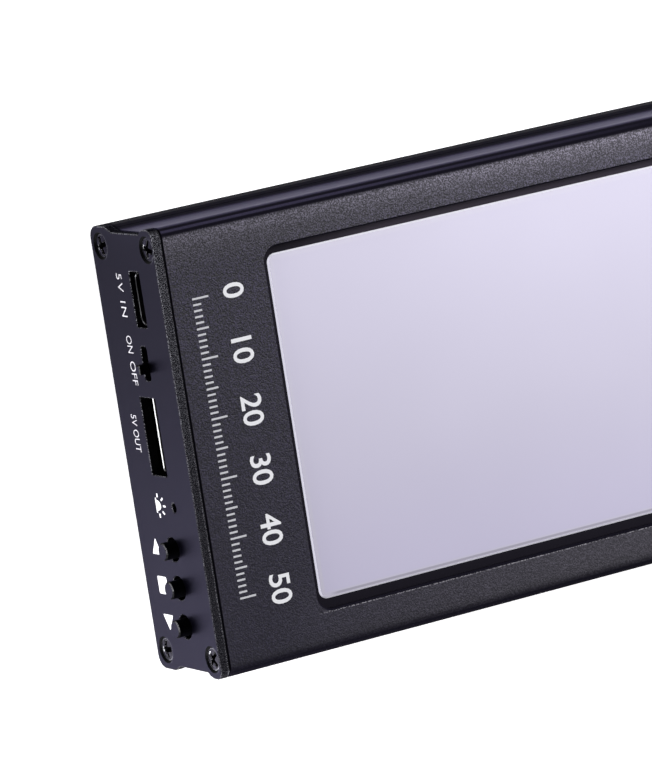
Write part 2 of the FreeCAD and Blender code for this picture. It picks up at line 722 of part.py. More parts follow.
def usb_c():
    """USB-C socket: metal shell, and the plastic core with its tongue."""
    rim = PORT_FACE + USBC_SUNK
    x = (rim, rim + USBC_LONG)
    y, z = span(USBC_Y, USBC_WIDE), span(USBC_Z, USBC_HIGH)
    shell = socket_shell(x, y, z, USBC_CORNER, USBC_WALL, USBC_WALL, USBC_FLARE)
    floor = x[1] - USBC_WALL
    core = prism_x(rectangle(grown(y, -USBC_WALL), grown(z, -USBC_WALL), USBC_CORNER - USBC_WALL),
                   (floor - USBC_BACK, floor))
    tongue = box((rim + USBC_TONGUE_SUNK, floor - USBC_BACK), span(USBC_Y, USBC_TONGUE_WIDE),
                 span(USBC_Z, USBC_TONGUE_THICK))
    return shell, core.fuse(tongue).removeSplitter()


def usb_a():
    """USB-A socket: metal shell, and the plastic core with tongue and riser."""
    rim = PORT_FACE + USBA_SUNK
    x = (rim, rim + USBA_LONG)
    y, z = span(USBA_Y, USBA_WIDE), span(USBA_Z, USBA_HIGH)
    shell = socket_shell(x, y, z, USBA_CORNER, USBA_WALL, -OVER, USBA_FLARE)
    inner_y, inner_z = grown(y, -USBA_WALL), grown(z, -USBA_WALL)
    core = prism_x(rectangle(inner_y, inner_z, USBA_CORNER - USBA_WALL), (x[1] - USBA_BACK, x[1]))
    low = inner_z[0] + USBA_TONGUE_FLOOR
    tongue = box((rim + USBA_TONGUE_SUNK, x[1] - USBA_BACK), span(USBA_Y, USBA_TONGUE_WIDE),
                 (low, low + USBA_TONGUE_THICK))
    riser = box((x[1], x[1] + USBA_RISER), inner_y, (inner_z[0], UNDER))
    foot = box((x[1] - USBA_BACK, x[1]), inner_y, (z[1], UNDER))
    return shell, core.fuse([tongue, riser, foot]).removeSplitter()


def power_switch():
    """Slide switch: metal case, base and the moving slider with its knob."""
    x = (PORT_IN + SWITCH_SET_BACK, PORT_IN + SWITCH_SET_BACK + SWITCH_LONG)
    y = span(SWITCH_Y, SWITCH_WIDE)
    z = (2 * SWITCH_Z - UNDER, UNDER)
    base_front = x[1] - SWITCH_BASE
    inside = (grown(y, -SWITCH_WALL), grown(z, -SWITCH_WALL))
    case = box(x, y, z).cut(box((x[0] + SWITCH_WALL, x[1] + OVER), *inside))
    slot_long = KNOB_WIDE + SWITCH_TRAVEL + 2 * SWITCH_STOP_GAP
    case = case.cut(box((x[0] - OVER, x[0] + OVER), span(SWITCH_Y, slot_long),
                        span(SWITCH_Z, KNOB_THICK + 2 * SWITCH_RUN_GAP)))
    base = box((base_front, x[1]), *inside)
    knob = box((PORT_FACE - KNOB_PROUD, x[0] + SWITCH_WALL + SWITCH_RUN_GAP),
               span(KNOB_Y, KNOB_WIDE), span(SWITCH_Z, KNOB_THICK))
    knob = knob.makeChamfer(KNOB_EDGE, ends(knob, PORT_FACE - KNOB_PROUD))
    block = box((x[0] + SWITCH_WALL + SWITCH_RUN_GAP, base_front - SWITCH_RUN_GAP),
                span(KNOB_Y, KNOB_BLOCK_WIDE), grown(inside[1], -SWITCH_RUN_GAP))
    return case, base, knob.fuse(block).removeSplitter()


def button_y(index):
    """Centre line of a button, counted from the up button."""
    return BUTTON_FIRST_Y - index * BUTTON_PITCH


def key_stations():
    """Places along X inside a key: cover's front, body's front, cavity's floor, back."""
    cover = PORT_IN + KEY_SET_BACK
    front = cover + KEY_COVER_THICK
    moving = BUTTON_RUN_GAP + BUTTON_COLLAR_THICK + BUTTON_NUB_LONG + BUTTON_TRAVEL
    return cover, front, front + moving + DOME_CLEAR + DOME_HIGH, cover + KEY_DEEP


def key_body(index):
    """Plastic body of a button's switch, with a round cavity for the plunger."""
    _, front, floor, back = key_stations()
    y = button_y(index)
    body = box((front, back), span(y, KEY_WIDE), (BUTTON_Z - KEY_BELOW, UNDER))
    return body.cut(rod((front - OVER, floor), y, BUTTON_Z, BUTTON_COLLAR_RADIUS + BUTTON_RUN_GAP))


def key_cover(index):
    """Metal cover that keeps the plunger in its switch."""
    cover, front, _, _ = key_stations()
    y = button_y(index)
    sheet = box((cover, front), span(y, KEY_WIDE), (BUTTON_Z - KEY_BELOW, UNDER))
    hole = rod(grown((cover, front), OVER), y, BUTTON_Z, BUTTON_RADIUS + BUTTON_RUN_GAP)
    return sheet.cut(hole)


def key_dome(index):
    """Thin sprung dome on the cavity's floor."""
    _, _, floor, _ = key_stations()
    radius = BUTTON_COLLAR_RADIUS
    ball = (radius ** 2 + DOME_HIGH ** 2) / (2 * DOME_HIGH)
    centre = V(floor - DOME_HIGH + ball, button_y(index), BUTTON_Z)
    shell = Part.makeSphere(ball, centre).cut(Part.makeSphere(ball - DOME_THICK, centre))
    return shell.common(rod((floor - DOME_HIGH, floor), button_y(index), BUTTON_Z, radius))


def button(index):
    """Button with its collar behind the cover and a nub for the dome."""
    _, front, _, _ = key_stations()
    y = button_y(index)
    collar = (front + BUTTON_RUN_GAP, front + BUTTON_RUN_GAP + BUTTON_COLLAR_THICK)
    tip = PORT_FACE - BUTTON_PROUD
    stem = rod((tip, collar[0]), y, BUTTON_Z, BUTTON_RADIUS)
    stem = stem.makeChamfer(BUTTON_EDGE, ends(stem, tip))
    nub = rod((collar[1], collar[1] + BUTTON_NUB_LONG), y, BUTTON_Z, BUTTON_NUB_RADIUS)
    return stem.fuse([rod(collar, y, BUTTON_Z, BUTTON_COLLAR_RADIUS), nub]).removeSplitter()


def charge_light():
    """Small light behind its hole, under the board's edge."""
    front = PORT_IN + LIGHT_SET_BACK
    return box((front, front + LIGHT_DEEP), span(LIGHT_Y, LIGHT_WIDE), (UNDER - LIGHT_HIGH, UNDER))


def jack_places():
    """Centre lines of the RF jacks."""
    return (JACK_SPACING / 2, -JACK_SPACING / 2)


def jack_tip():
    """End face of the jacks' barrels."""
    return RF_FACE + JACK_PROUD


def nut_place():
    """Both faces of the jacks' nuts."""
    return (RF_FACE + WASHER_THICK, RF_FACE + WASHER_THICK + NUT_THICK)


def jack_barrel(y):
    """Barrel at its thread's outer radius, and at its mean radius in the nut."""
    x = nut_place()
    free_end = rod((x[1], jack_tip()), y, JACK_Z, JACK_THREAD_RADIUS)
    free_end = free_end.makeChamfer(JACK_EDGE, ends(free_end, jack_tip()))
    return free_end.fuse([rod(x, y, JACK_Z, JACK_MEAN_RADIUS),
                          rod((RF_IN, x[0]), y, JACK_Z, JACK_THREAD_RADIUS)])


def jack_body(y):
    """Block on the board with a threaded barrel through the plate."""
    block = box((RF_IN - JACK_BLOCK_LONG, RF_IN), span(y, JACK_BLOCK_WIDE),
                (2 * JACK_Z - UNDER, UNDER))
    core = rod(grown((RF_IN - JACK_BLOCK_LONG, jack_tip()), OVER), y, JACK_Z, JACK_CORE_RADIUS)
    mouth = rod((jack_tip() - JACK_BORE_DEEP, jack_tip() + OVER), y, JACK_Z, JACK_BORE_RADIUS)
    return block.fuse(jack_barrel(y)).cut([core, mouth]).removeSplitter()


def jack_insulator(y):
    """White sleeve round the centre contact."""
    x = (RF_IN - JACK_BLOCK_LONG, jack_tip() - JACK_BORE_DEEP)
    hole = rod(grown(x, OVER), y, JACK_Z, JACK_PIN_RADIUS)
    return rod(x, y, JACK_Z, JACK_CORE_RADIUS).cut(hole)


def jack_contact(y):
    """Centre contact with a socket at its outer end and a solder tail."""
    end = jack_tip() - JACK_BORE_DEEP
    pin = rod((RF_IN - JACK_BLOCK_LONG - JACK_TAIL_LONG, end), y, JACK_Z, JACK_PIN_RADIUS)
    return pin.cut(rod((end - JACK_PIN_HOLE_DEEP, end + OVER), y, JACK_Z, JACK_PIN_HOLE))


def jack_washer(y):
    """Flat ring under a jack's nut."""
    x = (RF_FACE, RF_FACE + WASHER_THICK)
    hole = rod(grown(x, OVER), y, JACK_Z, JACK_THREAD_RADIUS + WASHER_GAP)
    return rod(x, y, JACK_Z, WASHER_RADIUS).cut(hole)


def jack_nut(y):
    """Hexagon nut with its outer corners turned off."""
    x = nut_place()
    round_radius = NUT_FLATS / math.sqrt(3)
    corners = []
    for step in range(6):
        turn = math.radians(60 * step)
        corners.append((y + round_radius * math.cos(turn), JACK_Z + round_radius * math.sin(turn), 0))
    nut = prism_x(corners, x)
    turned = cone((x[1] - NUT_THICK, x[1]), y, JACK_Z, round_radius + NUT_THICK - NUT_EDGE,
                  round_radius - NUT_EDGE)
    hole = rod(grown(x, OVER), y, JACK_Z, JACK_MEAN_RADIUS + NUT_GAP)
    return nut.common(turned).cut(hole)


def can_centres():
    """Centres of the two shield cans, source and receiver, as (x, y)."""
    x = RF_IN - CAN_RF_GAP - CAN_LONG / 2
    y = (CAN_WIDE + CAN_APART) / 2
    return (x, y), (x, -y)


def shield_can(centre):
    """Tin can over one RF circuit, open towards the board."""
    x, y = span(centre[0], CAN_LONG), span(centre[1], CAN_WIDE)
    z = (UNDER - CAN_HIGH, UNDER)
    outside = prism_z(rectangle(x, y, CAN_CORNER), z)
    inside = prism_z(rectangle(grown(x, -CAN_WALL), grown(y, -CAN_WALL), CAN_CORNER - CAN_WALL),
                     (z[0] + CAN_WALL, UNDER + OVER))
    return outside.cut(inside)


def chip(x, y, side, thick):
    """Square chip on the board's underside."""
    return box(span(x, side), span(y, side), (UNDER - thick, UNDER))


def edge_chip(from_port, from_edge, side, thick):
    """Chip placed from the port plate and from the board's +Y edge."""
    return chip(PORT_IN + from_port, BOARD_Y - from_edge, side, thick)


def rf_chips():
    """Chips under both shield cans, in two rows of three."""
    chips = []
    for x, y in can_centres():
        for column in (-1, 0, 1):
            for row in (-0.5, 0.5):
                chips.append(chip(x + column * RF_CHIP_PITCH, y + row * RF_CHIP_PITCH,
                                  RF_CHIP_SIDE, CHIP_THICK))
    return group(chips)


def board_chips():
    """Charger, flash and clock chips in a row."""
    places = [BOARD_CHIP_FROM_PORT + step * BOARD_CHIP_PITCH for step in range(3)]
    return group([edge_chip(from_port, BOARD_CHIP_FROM_EDGE, BOARD_CHIP_SIDE, CHIP_THICK)
                  for from_port in places])


# Battery

def battery():
    """Flat battery pack."""
    return prism_z(rectangle(CELL_X, span(0, CELL_WIDE), CELL_CORNER), (CELL_FOOT, CELL_TOP))


def battery_tape():
    """Two strips of foam tape between the battery and the floor."""
    strip = box(grown(CELL_X, -CELL_TAPE_INSET),
                (CELL_WIDE / 2 - CELL_TAPE_INSET - CELL_TAPE_WIDE, CELL_WIDE / 2 - CELL_TAPE_INSET),
                (FLOOR_WALL, CELL_FOOT))
    return group(mirrored(strip))


def battery_foam():
    """Foam block between the battery and each shield can."""
    blocks = []
    for x, y in can_centres():
        blocks.append(box(span(x, FOAM_WIDE), span(y, FOAM_WIDE), (CELL_TOP, UNDER - CAN_HIGH)))
    return group(blocks)


def lead_height():
    """Centre line of the battery's lead, half way up the pack."""
    return CELL_FOOT + CELL_THICK / 2


def battery_board():
    """Protection board at the battery's end."""
    return box((CELL_X[0] - CELL_BOARD_DEEP, CELL_X[0]), span(CELL_BOARD_Y, CELL_BOARD_WIDE),
               span(lead_height(), CELL_BOARD_THICK))


def plug_x():
    """Centre line of the battery's plug."""
    return CELL_X[0] - CELL_BOARD_DEEP - LEAD_RUN


def battery_socket():
    """Socket on the board's underside, open downwards."""
    x, y = span(plug_x(), SOCKET_DEEP), span(LEAD_Y, SOCKET_WIDE)
    body = box(x, y, (UNDER - SOCKET_HIGH, UNDER))
    hole = box(grown(span(plug_x(), PLUG_DEEP), PLUG_GAP), grown(span(LEAD_Y, PLUG_WIDE), PLUG_GAP),
               (UNDER - SOCKET_HIGH - OVER, UNDER - SOCKET_HIGH + PLUG_IN + PLUG_GAP))
    return body.cut(hole)


def plug_foot():
    """Underside of the plug."""
    return UNDER - SOCKET_HIGH - PLUG_OUT


def battery_plug():
    """Plug on the battery's lead."""
    return box(span(plug_x(), PLUG_DEEP), span(LEAD_Y, PLUG_WIDE),
               (plug_foot(), plug_foot() + PLUG_OUT + PLUG_IN))


def battery_wire(y):
    """Wire from the protection board, bent up once into the plug."""
    z = lead_height()
    bend = min(LEAD_BEND, plug_foot() - z)
    start = V(CELL_X[0] - CELL_BOARD_DEEP, y, z)
    turn_in = V(plug_x() + bend, y, z)
    turn_out = V(plug_x(), y, z + bend)
    middle = V(plug_x() + bend * (1 - math.sqrt(0.5)), y, z + bend * (1 - math.sqrt(0.5)))
    path = Part.Wire([Part.LineSegment(start, turn_in).toShape(),
                      Part.Arc(turn_in, middle, turn_out).toShape(),
                      Part.LineSegment(turn_out, V(plug_x(), y, plug_foot())).toShape()])
    section = Part.Wire([Part.makeCircle(LEAD_RADIUS, start, V(1, 0, 0))])
    return path.makePipeShell([section], True, False)


def battery_lead():
    """Both wires of the battery's lead."""
    return group([battery_wire(y) for y in span(LEAD_Y, LEAD_PITCH)])


def all_nodes():
    """Every sub-part by name."""
    usb_c_shell, usb_c_core = usb_c()
    usb_a_shell, usb_a_core = usb_a()
    switch_case, switch_base, slider = power_switch()
    jacks = jack_places()
    source, receiver = can_centres()
    nodes = {
        "front_shell": front_shell(),
        "rear_shell": rear_shell(),
        "port_end_plate": port_plate(),
        "rf_end_plate": rf_plate(),
        "port_plate_screws": plate_screws(PORT_FACE, 1),
        "rf_plate_screws": plate_screws(RF_FACE, -1),
        "display_glass": glass(),
        "display_bezel": bezel(),
        "display_gasket": gasket(),
        "display_panel": panel(),
        "display_light_guide": light_guide(),
        "display_tray": tray(),
        "display_tape": display_tape(),
        "display_flex": flex(),
        "display_flex_socket": flex_socket(),
        "main_board": board(),
        "usb_c_shell": usb_c_shell,
        "usb_c_core": usb_c_core,
        "usb_a_shell": usb_a_shell,
        "usb_a_core": usb_a_core,
        "power_switch_case": switch_case,
        "power_switch_base": switch_base,
        "power_slider": slider,
        "charge_light": charge_light(),
        "source_shield_can": shield_can(source),
        "receiver_shield_can": shield_can(receiver),
        "rf_chips": rf_chips(),
        "processor_chip": edge_chip(PROCESSOR_FROM_PORT, PROCESSOR_FROM_EDGE, PROCESSOR_SIDE,
                                    PROCESSOR_THICK),
        "board_chips": board_chips(),
        "power_inductor": edge_chip(COIL_FROM_PORT, COIL_FROM_EDGE, COIL_SIDE, COIL_THICK),
        "battery_pack": battery(),
        "battery_tape": battery_tape(),
        "battery_foam": battery_foam(),
        "battery_board": battery_board(),
        "battery_lead": battery_lead(),
        "battery_plug": battery_plug(),
        "battery_socket": battery_socket(),
        "rf_jack_insulators": group([jack_insulator(y) for y in jacks]),
        "rf_jack_contacts": group([jack_contact(y) for y in jacks]),
        "rf_jack_washers": group([jack_washer(y) for y in jacks]),
        "rf_jack_nuts": group([jack_nut(y) for y in jacks]),
    }
    for number, y in enumerate(jacks, 1):
        nodes[f"rf_jack_{number}_body"] = jack_body(y)
    for index, name in enumerate(BUTTON_NAMES):
        nodes[f"{name}_button"] = button(index)
        nodes[f"{name}_key_body"] = key_body(index)
    nodes["key_covers"] = group([key_cover(index) for index in range(len(BUTTON_NAMES))])
    nodes["key_domes"] = group([key_dome(index) for index in range(len(BUTTON_NAMES))])
    return nodes


os.makedirs("parts", exist_ok=True)
for node_name, node_shape in all_nodes().items():
    node_shape.exportStep(f"parts/{node_name}.step")
    print(node_name, len(node_shape.Solids), node_shape.isValid())
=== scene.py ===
"""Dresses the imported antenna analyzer: finishes, printed marks, contacts and threads."""
import json
import logging
import math
from dataclasses import dataclass
from enum import Enum
from typing import Any, Callable, Iterable, Sequence

import bmesh
import bpy
from mathutils import Matrix, Vector

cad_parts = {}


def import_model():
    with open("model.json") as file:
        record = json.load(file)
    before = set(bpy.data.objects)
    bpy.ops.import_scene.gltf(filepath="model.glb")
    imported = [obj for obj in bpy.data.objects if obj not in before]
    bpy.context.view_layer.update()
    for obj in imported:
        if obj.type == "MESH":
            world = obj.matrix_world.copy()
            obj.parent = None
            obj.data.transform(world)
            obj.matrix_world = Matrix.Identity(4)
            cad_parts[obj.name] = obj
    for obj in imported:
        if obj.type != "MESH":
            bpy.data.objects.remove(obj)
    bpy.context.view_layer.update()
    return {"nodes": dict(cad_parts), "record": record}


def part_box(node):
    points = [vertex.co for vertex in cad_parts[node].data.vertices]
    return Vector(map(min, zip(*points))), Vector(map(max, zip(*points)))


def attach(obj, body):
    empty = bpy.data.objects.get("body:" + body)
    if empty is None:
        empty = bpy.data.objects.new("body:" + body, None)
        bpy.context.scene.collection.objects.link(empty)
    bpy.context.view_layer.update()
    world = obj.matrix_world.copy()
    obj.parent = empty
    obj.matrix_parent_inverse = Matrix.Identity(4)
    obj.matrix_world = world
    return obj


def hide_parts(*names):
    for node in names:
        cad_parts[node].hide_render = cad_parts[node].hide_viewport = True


LOG = logging.getLogger("analyzer")
MM = 0.001
NOISE_MIDDLE = 0.5
SMOOTH = {"interpolation_type": "SMOOTHSTEP"}
Colour = tuple[float, float, float]
Place = tuple[float, float, float]
Band = tuple[float, float, float]
Point = tuple[float, float]
Span = tuple[float, float]
Lamp = tuple[str, Place, Place, Point, float]
Term = Any
Socket = bpy.types.NodeSocket
Shape = bmesh.types.BMesh
SCREW_PLACES: tuple[Point, ...] = ((34.2, 3.2), (34.2, 19.5))


# Shader maths

class Field:
    """A number that varies over a surface, with the usual operators."""

    def __init__(self, paint: "Tree", socket: Socket) -> None:
        """Keep the socket and the paint that it belongs to."""
        self.paint = paint
        self.socket = socket

    def _maths(self, operation: str, *terms: Term) -> "Field":
        """Result of one Math node on numbers or fields."""
        made = self.paint.node("ShaderNodeMath", {"operation": operation}, dict(enumerate(terms)))
        return self.paint.field(made)

    def __add__(self, other: Term) -> "Field":
        """Sum."""
        return self._maths("ADD", self, other)

    __radd__ = __add__

    def __sub__(self, other: Term) -> "Field":
        """Difference."""
        return self._maths("SUBTRACT", self, other)

    def __rsub__(self, other: Term) -> "Field":
        """Difference, number first."""
        return self._maths("SUBTRACT", other, self)

    def __mul__(self, other: Term) -> "Field":
        """Product."""
        return self._maths("MULTIPLY", self, other)

    __rmul__ = __mul__

    def __neg__(self) -> "Field":
        """Opposite."""
        return 0 - self

    def __abs__(self) -> "Field":
        """Size without its sign."""
        return self._maths("ABSOLUTE", self)

    def root(self) -> "Field":
        """Square root."""
        return self._maths("SQRT", self)

    def least(self, other: Term) -> "Field":
        """Smaller of two."""
        return self._maths("MINIMUM", self, other)

    def most(self, other: Term) -> "Field":
        """Larger of two."""
        return self._maths("MAXIMUM", self, other)

    def rise(self, start: float, end: float) -> "Field":
        """Mask that goes smoothly from 0 at start to 1 at end."""
        inputs = {"Value": self, "From Min": start, "From Max": end}
        return self.paint.field(self.paint.node("ShaderNodeMapRange", SMOOTH, inputs))

    def band(self, centre: float, half: float, ease: float) -> "Field":
        """Mask that is 1 within half of centre and falls to 0 over ease."""
        return 1 - abs(self - centre).rise(half, half + ease)

    def between(self, start: float, end: float) -> "Field":
        """Go from start to end as the field goes from 0 to 1."""
        return start + (end - start) * self

    def about(self, middle: Term, swing: float) -> "Field":
        """Swing round a middle, as a noise swings round its own."""
        return middle + swing * (self - NOISE_MIDDLE)


class Tree:
    """A node tree, built from expressions."""

    def __init__(self, owner: bpy.types.ID) -> None:
        """Start an empty tree.

        Args:
            owner: the material or world that it belongs to.
        """
        owner.use_nodes = True
        self.tree = owner.node_tree
        self.tree.nodes.clear()

    def parts(self, socket: Socket) -> list[Field]:
        """Split a vector into its three fields."""
        split = self.node("ShaderNodeSeparateXYZ", {}, {0: socket})
        return [Field(self, output) for output in split.outputs]

    def node(self, kind: str, settings: dict[str, Any], inputs: dict[Any, Term]) -> bpy.types.Node:
        """Add a node.

        Args:
            kind: the node's type.
            settings: its properties.
            inputs: numbers, colours, fields or sockets for its inputs.

        Returns:
            The node.
        """
        made = self.tree.nodes.new(kind)
        for key, value in settings.items():
            setattr(made, key, value)
        for key, value in inputs.items():
            socket = value.socket if isinstance(value, Field) else value
            if isinstance(socket, Socket):
                self.tree.links.new(socket, made.inputs[key])
            else:
                made.inputs[key].default_value = socket
        return made

    def field(self, node: bpy.types.Node, output: Any = 0) -> Field:
        """Wrap one of a node's outputs."""
        return Field(self, node.outputs[output])


class Paint(Tree):
    """One material's node tree, with places in mm."""

    def __init__(self, name: str) -> None:
        """Start an empty material.

        Args:
            name: the material's name.
        """
        self.material = bpy.data.materials.new(name)
        super().__init__(self.material)
        coordinates = self.node("ShaderNodeTexCoord", {}, {})
        self.place = self.vector("SCALE", {0: coordinates.outputs["Object"], "Scale": 1 / MM})
        self.x, self.y, self.z = self.parts(self.place)
        self.normal_x, self.normal_y, self.normal_z = self.parts(coordinates.outputs["Normal"])

    def vector(self, operation: str, inputs: dict[Any, Term]) -> Socket:
        """Result of one Vector Math node."""
        return self.node("ShaderNodeVectorMath", {"operation": operation}, inputs).outputs[0]

    def noise(self, size: float, detail: float = 2.0, stretch: Place = (1, 1, 1)) -> Field:
        """Soft random field, about 0.5 on average.

        Args:
            size: size of its features in mm.
            detail: number of finer layers.
            stretch: factors on the three axes.

        Returns:
            The noise.
        """
        place = self.vector("MULTIPLY", {0: self.place, 1: stretch})
        inputs = {"Vector": place, "Scale": 1 / size, "Detail": detail}
        return self.field(self.node("ShaderNodeTexNoise", {}, inputs))

    def cells(self, size: float, feature: str = "F1") -> Field:
        """Distance in scattered cells of a size in mm, by a Voronoi feature."""
        inputs = {"Vector": self.place, "Scale": 1 / size}
        return self.field(self.node("ShaderNodeTexVoronoi", {"feature": feature}, inputs))

    def mix(self, share: Term, first: Term, second: Term) -> Socket:
        """Mix two colours, share being the second's."""
        inputs = {0: share, 6: self._opaque(first), 7: self._opaque(second)}
        return self.node("ShaderNodeMix", {"data_type": "RGBA"}, inputs).outputs[2]

    def shade(self, colour: Term, amount: Term) -> Socket:
        """Multiply a colour by a number or field."""
        return self.vector("SCALE", {0: colour, "Scale": amount})

    @staticmethod
    def _opaque(colour: Term) -> Term:
        """Add the fourth channel to a plain colour."""
        return (*colour, 1) if isinstance(colour, tuple) else colour

    def bump(self, height: Field, rise: float) -> Socket:
        """Normal bent by a height from 0 to 1, where 1 is rise in mm."""
        inputs = {"Strength": 1.0, "Distance": rise * MM, "Height": height}
        return self.node("ShaderNodeBump", {}, inputs).outputs[0]

    def shader(self, **inputs: Term) -> Socket:
        """Add a Principled shader, its sockets named with underscores for spaces."""
        named = {key.replace("_", " "): self._opaque(value) for key, value in inputs.items()}
        return self.node("ShaderNodeBsdfPrincipled", {}, named).outputs[0]

    def blend(self, share: Field, first: Socket, second: Socket) -> Socket:
        """Mix two shaders, share being the second's."""
        return self.node("ShaderNodeMixShader", {}, {0: share, 1: first, 2: second}).outputs[0]

    def finished(self, shader: Socket) -> bpy.types.Material:
        """Close the tree with a shader."""
        self.node("ShaderNodeOutputMaterial", {}, {0: shader})
        return self.material


# Finishes

class Finish:
    """Something a surface can be finished in."""

    def make(self, name: str) -> bpy.types.Material:
        """Build the material under a name."""
        paint = Paint(name)
        return paint.finished(self.shader(paint))

    def shader(self, paint: Paint) -> Socket:
        """Shader of the surface, on a new material's paint."""
        raise NotImplementedError


@dataclass(frozen=True)
class GrainedCoat(Finish):
    """Anodised aluminium: leather-like grain on the flats, drawn sides, and roundings painted
    black as shade.
    """

    tone: Colour = (0.0142, 0.0124, 0.0255)
    # Colour of the painted sheen on the flats.
    wear_and_sheen: Colour = (0.0485, 0.0448, 0.0570)
    # Light colour of bare metal and of painted glints.
    bare_and_glint: Colour = (0.25, 0.24, 0.27)
    side: Colour = (0.0180, 0.0162, 0.0240)
    # Near-black colour painted as shade on roundings, the back ridge and sides facing -Y.
    ridge: Colour = (0.0060, 0.0053, 0.0098)
    tint: Colour = (0.92, 0.90, 1.00)
    side_tint: Colour = (0.50, 0.48, 0.66)
    grain: float = 0.24
    rise: float = 0.065
    gloss: Span = (0.45, 0.3)
    clouds: float = 14.0
    seam: Span = (62.95, 63.0)
    window: float = 30.85
    ridge_top: Span = (7.1, 7.7)
    leaning: Span = (0.35, 0.55)
    downward: Span = (-0.5, -0.1)
    # Where the painted highlight band on the rounding lies and how strong it is.
    line_slant: Band = (0.81, 0.04, 0.08)
    line_level: Span = (18, 19)
    line_fade: Span = (-45, 45)
    line_gain: float = 4.6
    soft_slant: Span = (0.88, 0.97)
    soft_rim: Span = (-37.3, -34.9)
    soft_reach: Span = (-34, -31)
    sharp_slant: Span = (0.97, 0.995)
    lower_rim: Span = (-35.9, -35.2)
    upper_rim: Span = (35.5, 36.2)
    across: Span = (-32, 31)
    along: Span = (-55, 30)
    # Spans of the painted sheen bands along the lower and upper sides.
    lower_sheen: Span = (-31, -24)
    upper_sheen: Span = (28.5, 36.0)
    lit_rim: Span = (32.5, 36.0)
    lit_strip: Span = (26, 31)
    calm_strip: Span = (30, 35)
    # Span of the painted shade along the lower edge.
    shaded_foot: Span = (-37, -33)
    speck_floor: Span = (0.55, 0.10)
    speck_gain: Span = (3.2, 8.8)
    speck_start: float = 0.42

    def shader(self, paint: Paint) -> Socket:
        """Grained flats, drawn upright sides, and black roundings, back ridge and sides facing -Y
        as painted shade.

        Args:
            paint: the material's paint.

        Returns:
            The shader.
        """
        fine = paint.noise(self.grain, 1)
        slow = paint.noise(self.clouds)
        seam = abs(paint.x).rise(*self.seam)
        shade = slow.about(1, 0.28) * seam.between(1, 0.1)
        drawn = paint.noise(0.3, stretch=(0.02, 1, 1))
        side = paint.shader(
            Base_Color=paint.shade(self.side, drawn.about(1, 0.6) * shade),
            Roughness=drawn.about(0.42, 0.2), Specular_IOR_Level=0.035,
            Normal=paint.bump(drawn, 0.004), Specular_Tint=self.side_tint, Metallic=0.6)
        # Painted highlight: a lighter band along the front shell's rounding on the +Y side, fading
        # towards +X.
        line = paint.normal_z.band(*self.line_slant) * paint.normal_y.rise(0.2, 0.35)
        line = line * paint.z.rise(*self.line_level)
        line = line * paint.x.rise(*self.line_fade).between(1, 0.05)
        dark = fine.about(1, 0.6) * line.between(1, 1 + self.line_gain)
        black = paint.shader(
            Base_Color=paint.shade(self.ridge, dark), Roughness=0.7, Specular_IOR_Level=0.01)
        # Painted shade: below the ridge top, on leaning roundings and on sides facing -Y, the
        # black shader takes the place of the drawn sides.
        bright = paint.z.rise(*self.ridge_top) * (1 - paint.normal_z.rise(*self.leaning))
        bright = bright * paint.normal_y.rise(*self.downward)
        flat = self.flat(paint, fine, shade, slow.about(0.3 * seam, 0.06))
        return paint.blend(self.flatness(paint), paint.blend(bright, black, side), flat)

    def flatness(self, paint: Paint) -> Field:
        """Mask of the grained flats, which end softly along the lower side.

        Args:
            paint: the material's paint.

        Returns:
            The mask.
        """
        level = abs(paint.normal_z)
        soft = level.rise(*self.soft_slant) * (1 - paint.y.rise(*self.soft_reach))
        sharp = level.rise(*self.sharp_slant) * (1 - paint.y.rise(*self.upper_rim))
        return (soft * paint.y.rise(*self.soft_rim)).most(sharp * paint.y.rise(*self.lower_rim))

    def flat(self, paint: Paint, fine: Field, shade: Field, rougher: Field) -> Socket:
        """Shader of the grained flats, with painted sheen along the lower and upper sides.

        Args:
            paint: the material's paint.
            fine: the grain.
            shade: slow changes of brightness.
            rougher: what is added to the roughness.

        Returns:
            The shader.
        """
        height = 0.4 * paint.cells(self.grain * 1.6, "SMOOTH_F1") + 0.7 * fine
        # Painted sheen: the specks gain contrast towards the upper side, where the highlight
        # falls.
        upper = paint.y.rise(*self.across) * paint.y.rise(*self.calm_strip).between(1, 0.6)
        glints = upper.between(*self.speck_gain) * (fine - self.speck_start).most(0.0)
        along = paint.x.rise(*self.along)
        # Painted sheen: lighter bands along the lower side, growing towards +X, and along the
        # upper side.
        wear_and_sheen = 0.85 * (1 - paint.y.rise(*self.lower_sheen)) * along.root()
        wear_and_sheen = wear_and_sheen + along.between(0.72, 0.90) * paint.y.rise(*self.upper_sheen)
        # Painted highlight: the grain is lightened in a strip below the upper rim, more towards
        # +X.
        edge = along.between(0.9, 1.45) * paint.y.rise(*self.lit_rim)
        edge = edge + 0.6 * along * paint.y.rise(*self.lit_strip)
        specks = (upper.between(*self.speck_floor) + glints) * shade * (1 + edge)
        # Painted shade: the flats darken towards the lower edge.
        specks = specks * paint.y.rise(*self.shaded_foot).between(0.6, 1)
        colour = paint.shade(paint.mix(wear_and_sheen, self.tone, self.wear_and_sheen), specks)
        # Painted highlight: a thin dotted light line along the window's lower edge.
        rim = (paint.y + self.window).band(0.0, 0.10, 0.06) * fine.rise(0.45, 0.6)
        colour = paint.mix(rim * paint.x.rise(-46, -42), colour, self.bare_and_glint)
        return paint.shader(
            Base_Color=colour, Roughness=fine.about(*self.gloss) + rougher,
            Normal=paint.bump(height, self.rise), Specular_IOR_Level=0.3, Specular_Tint=self.tint)


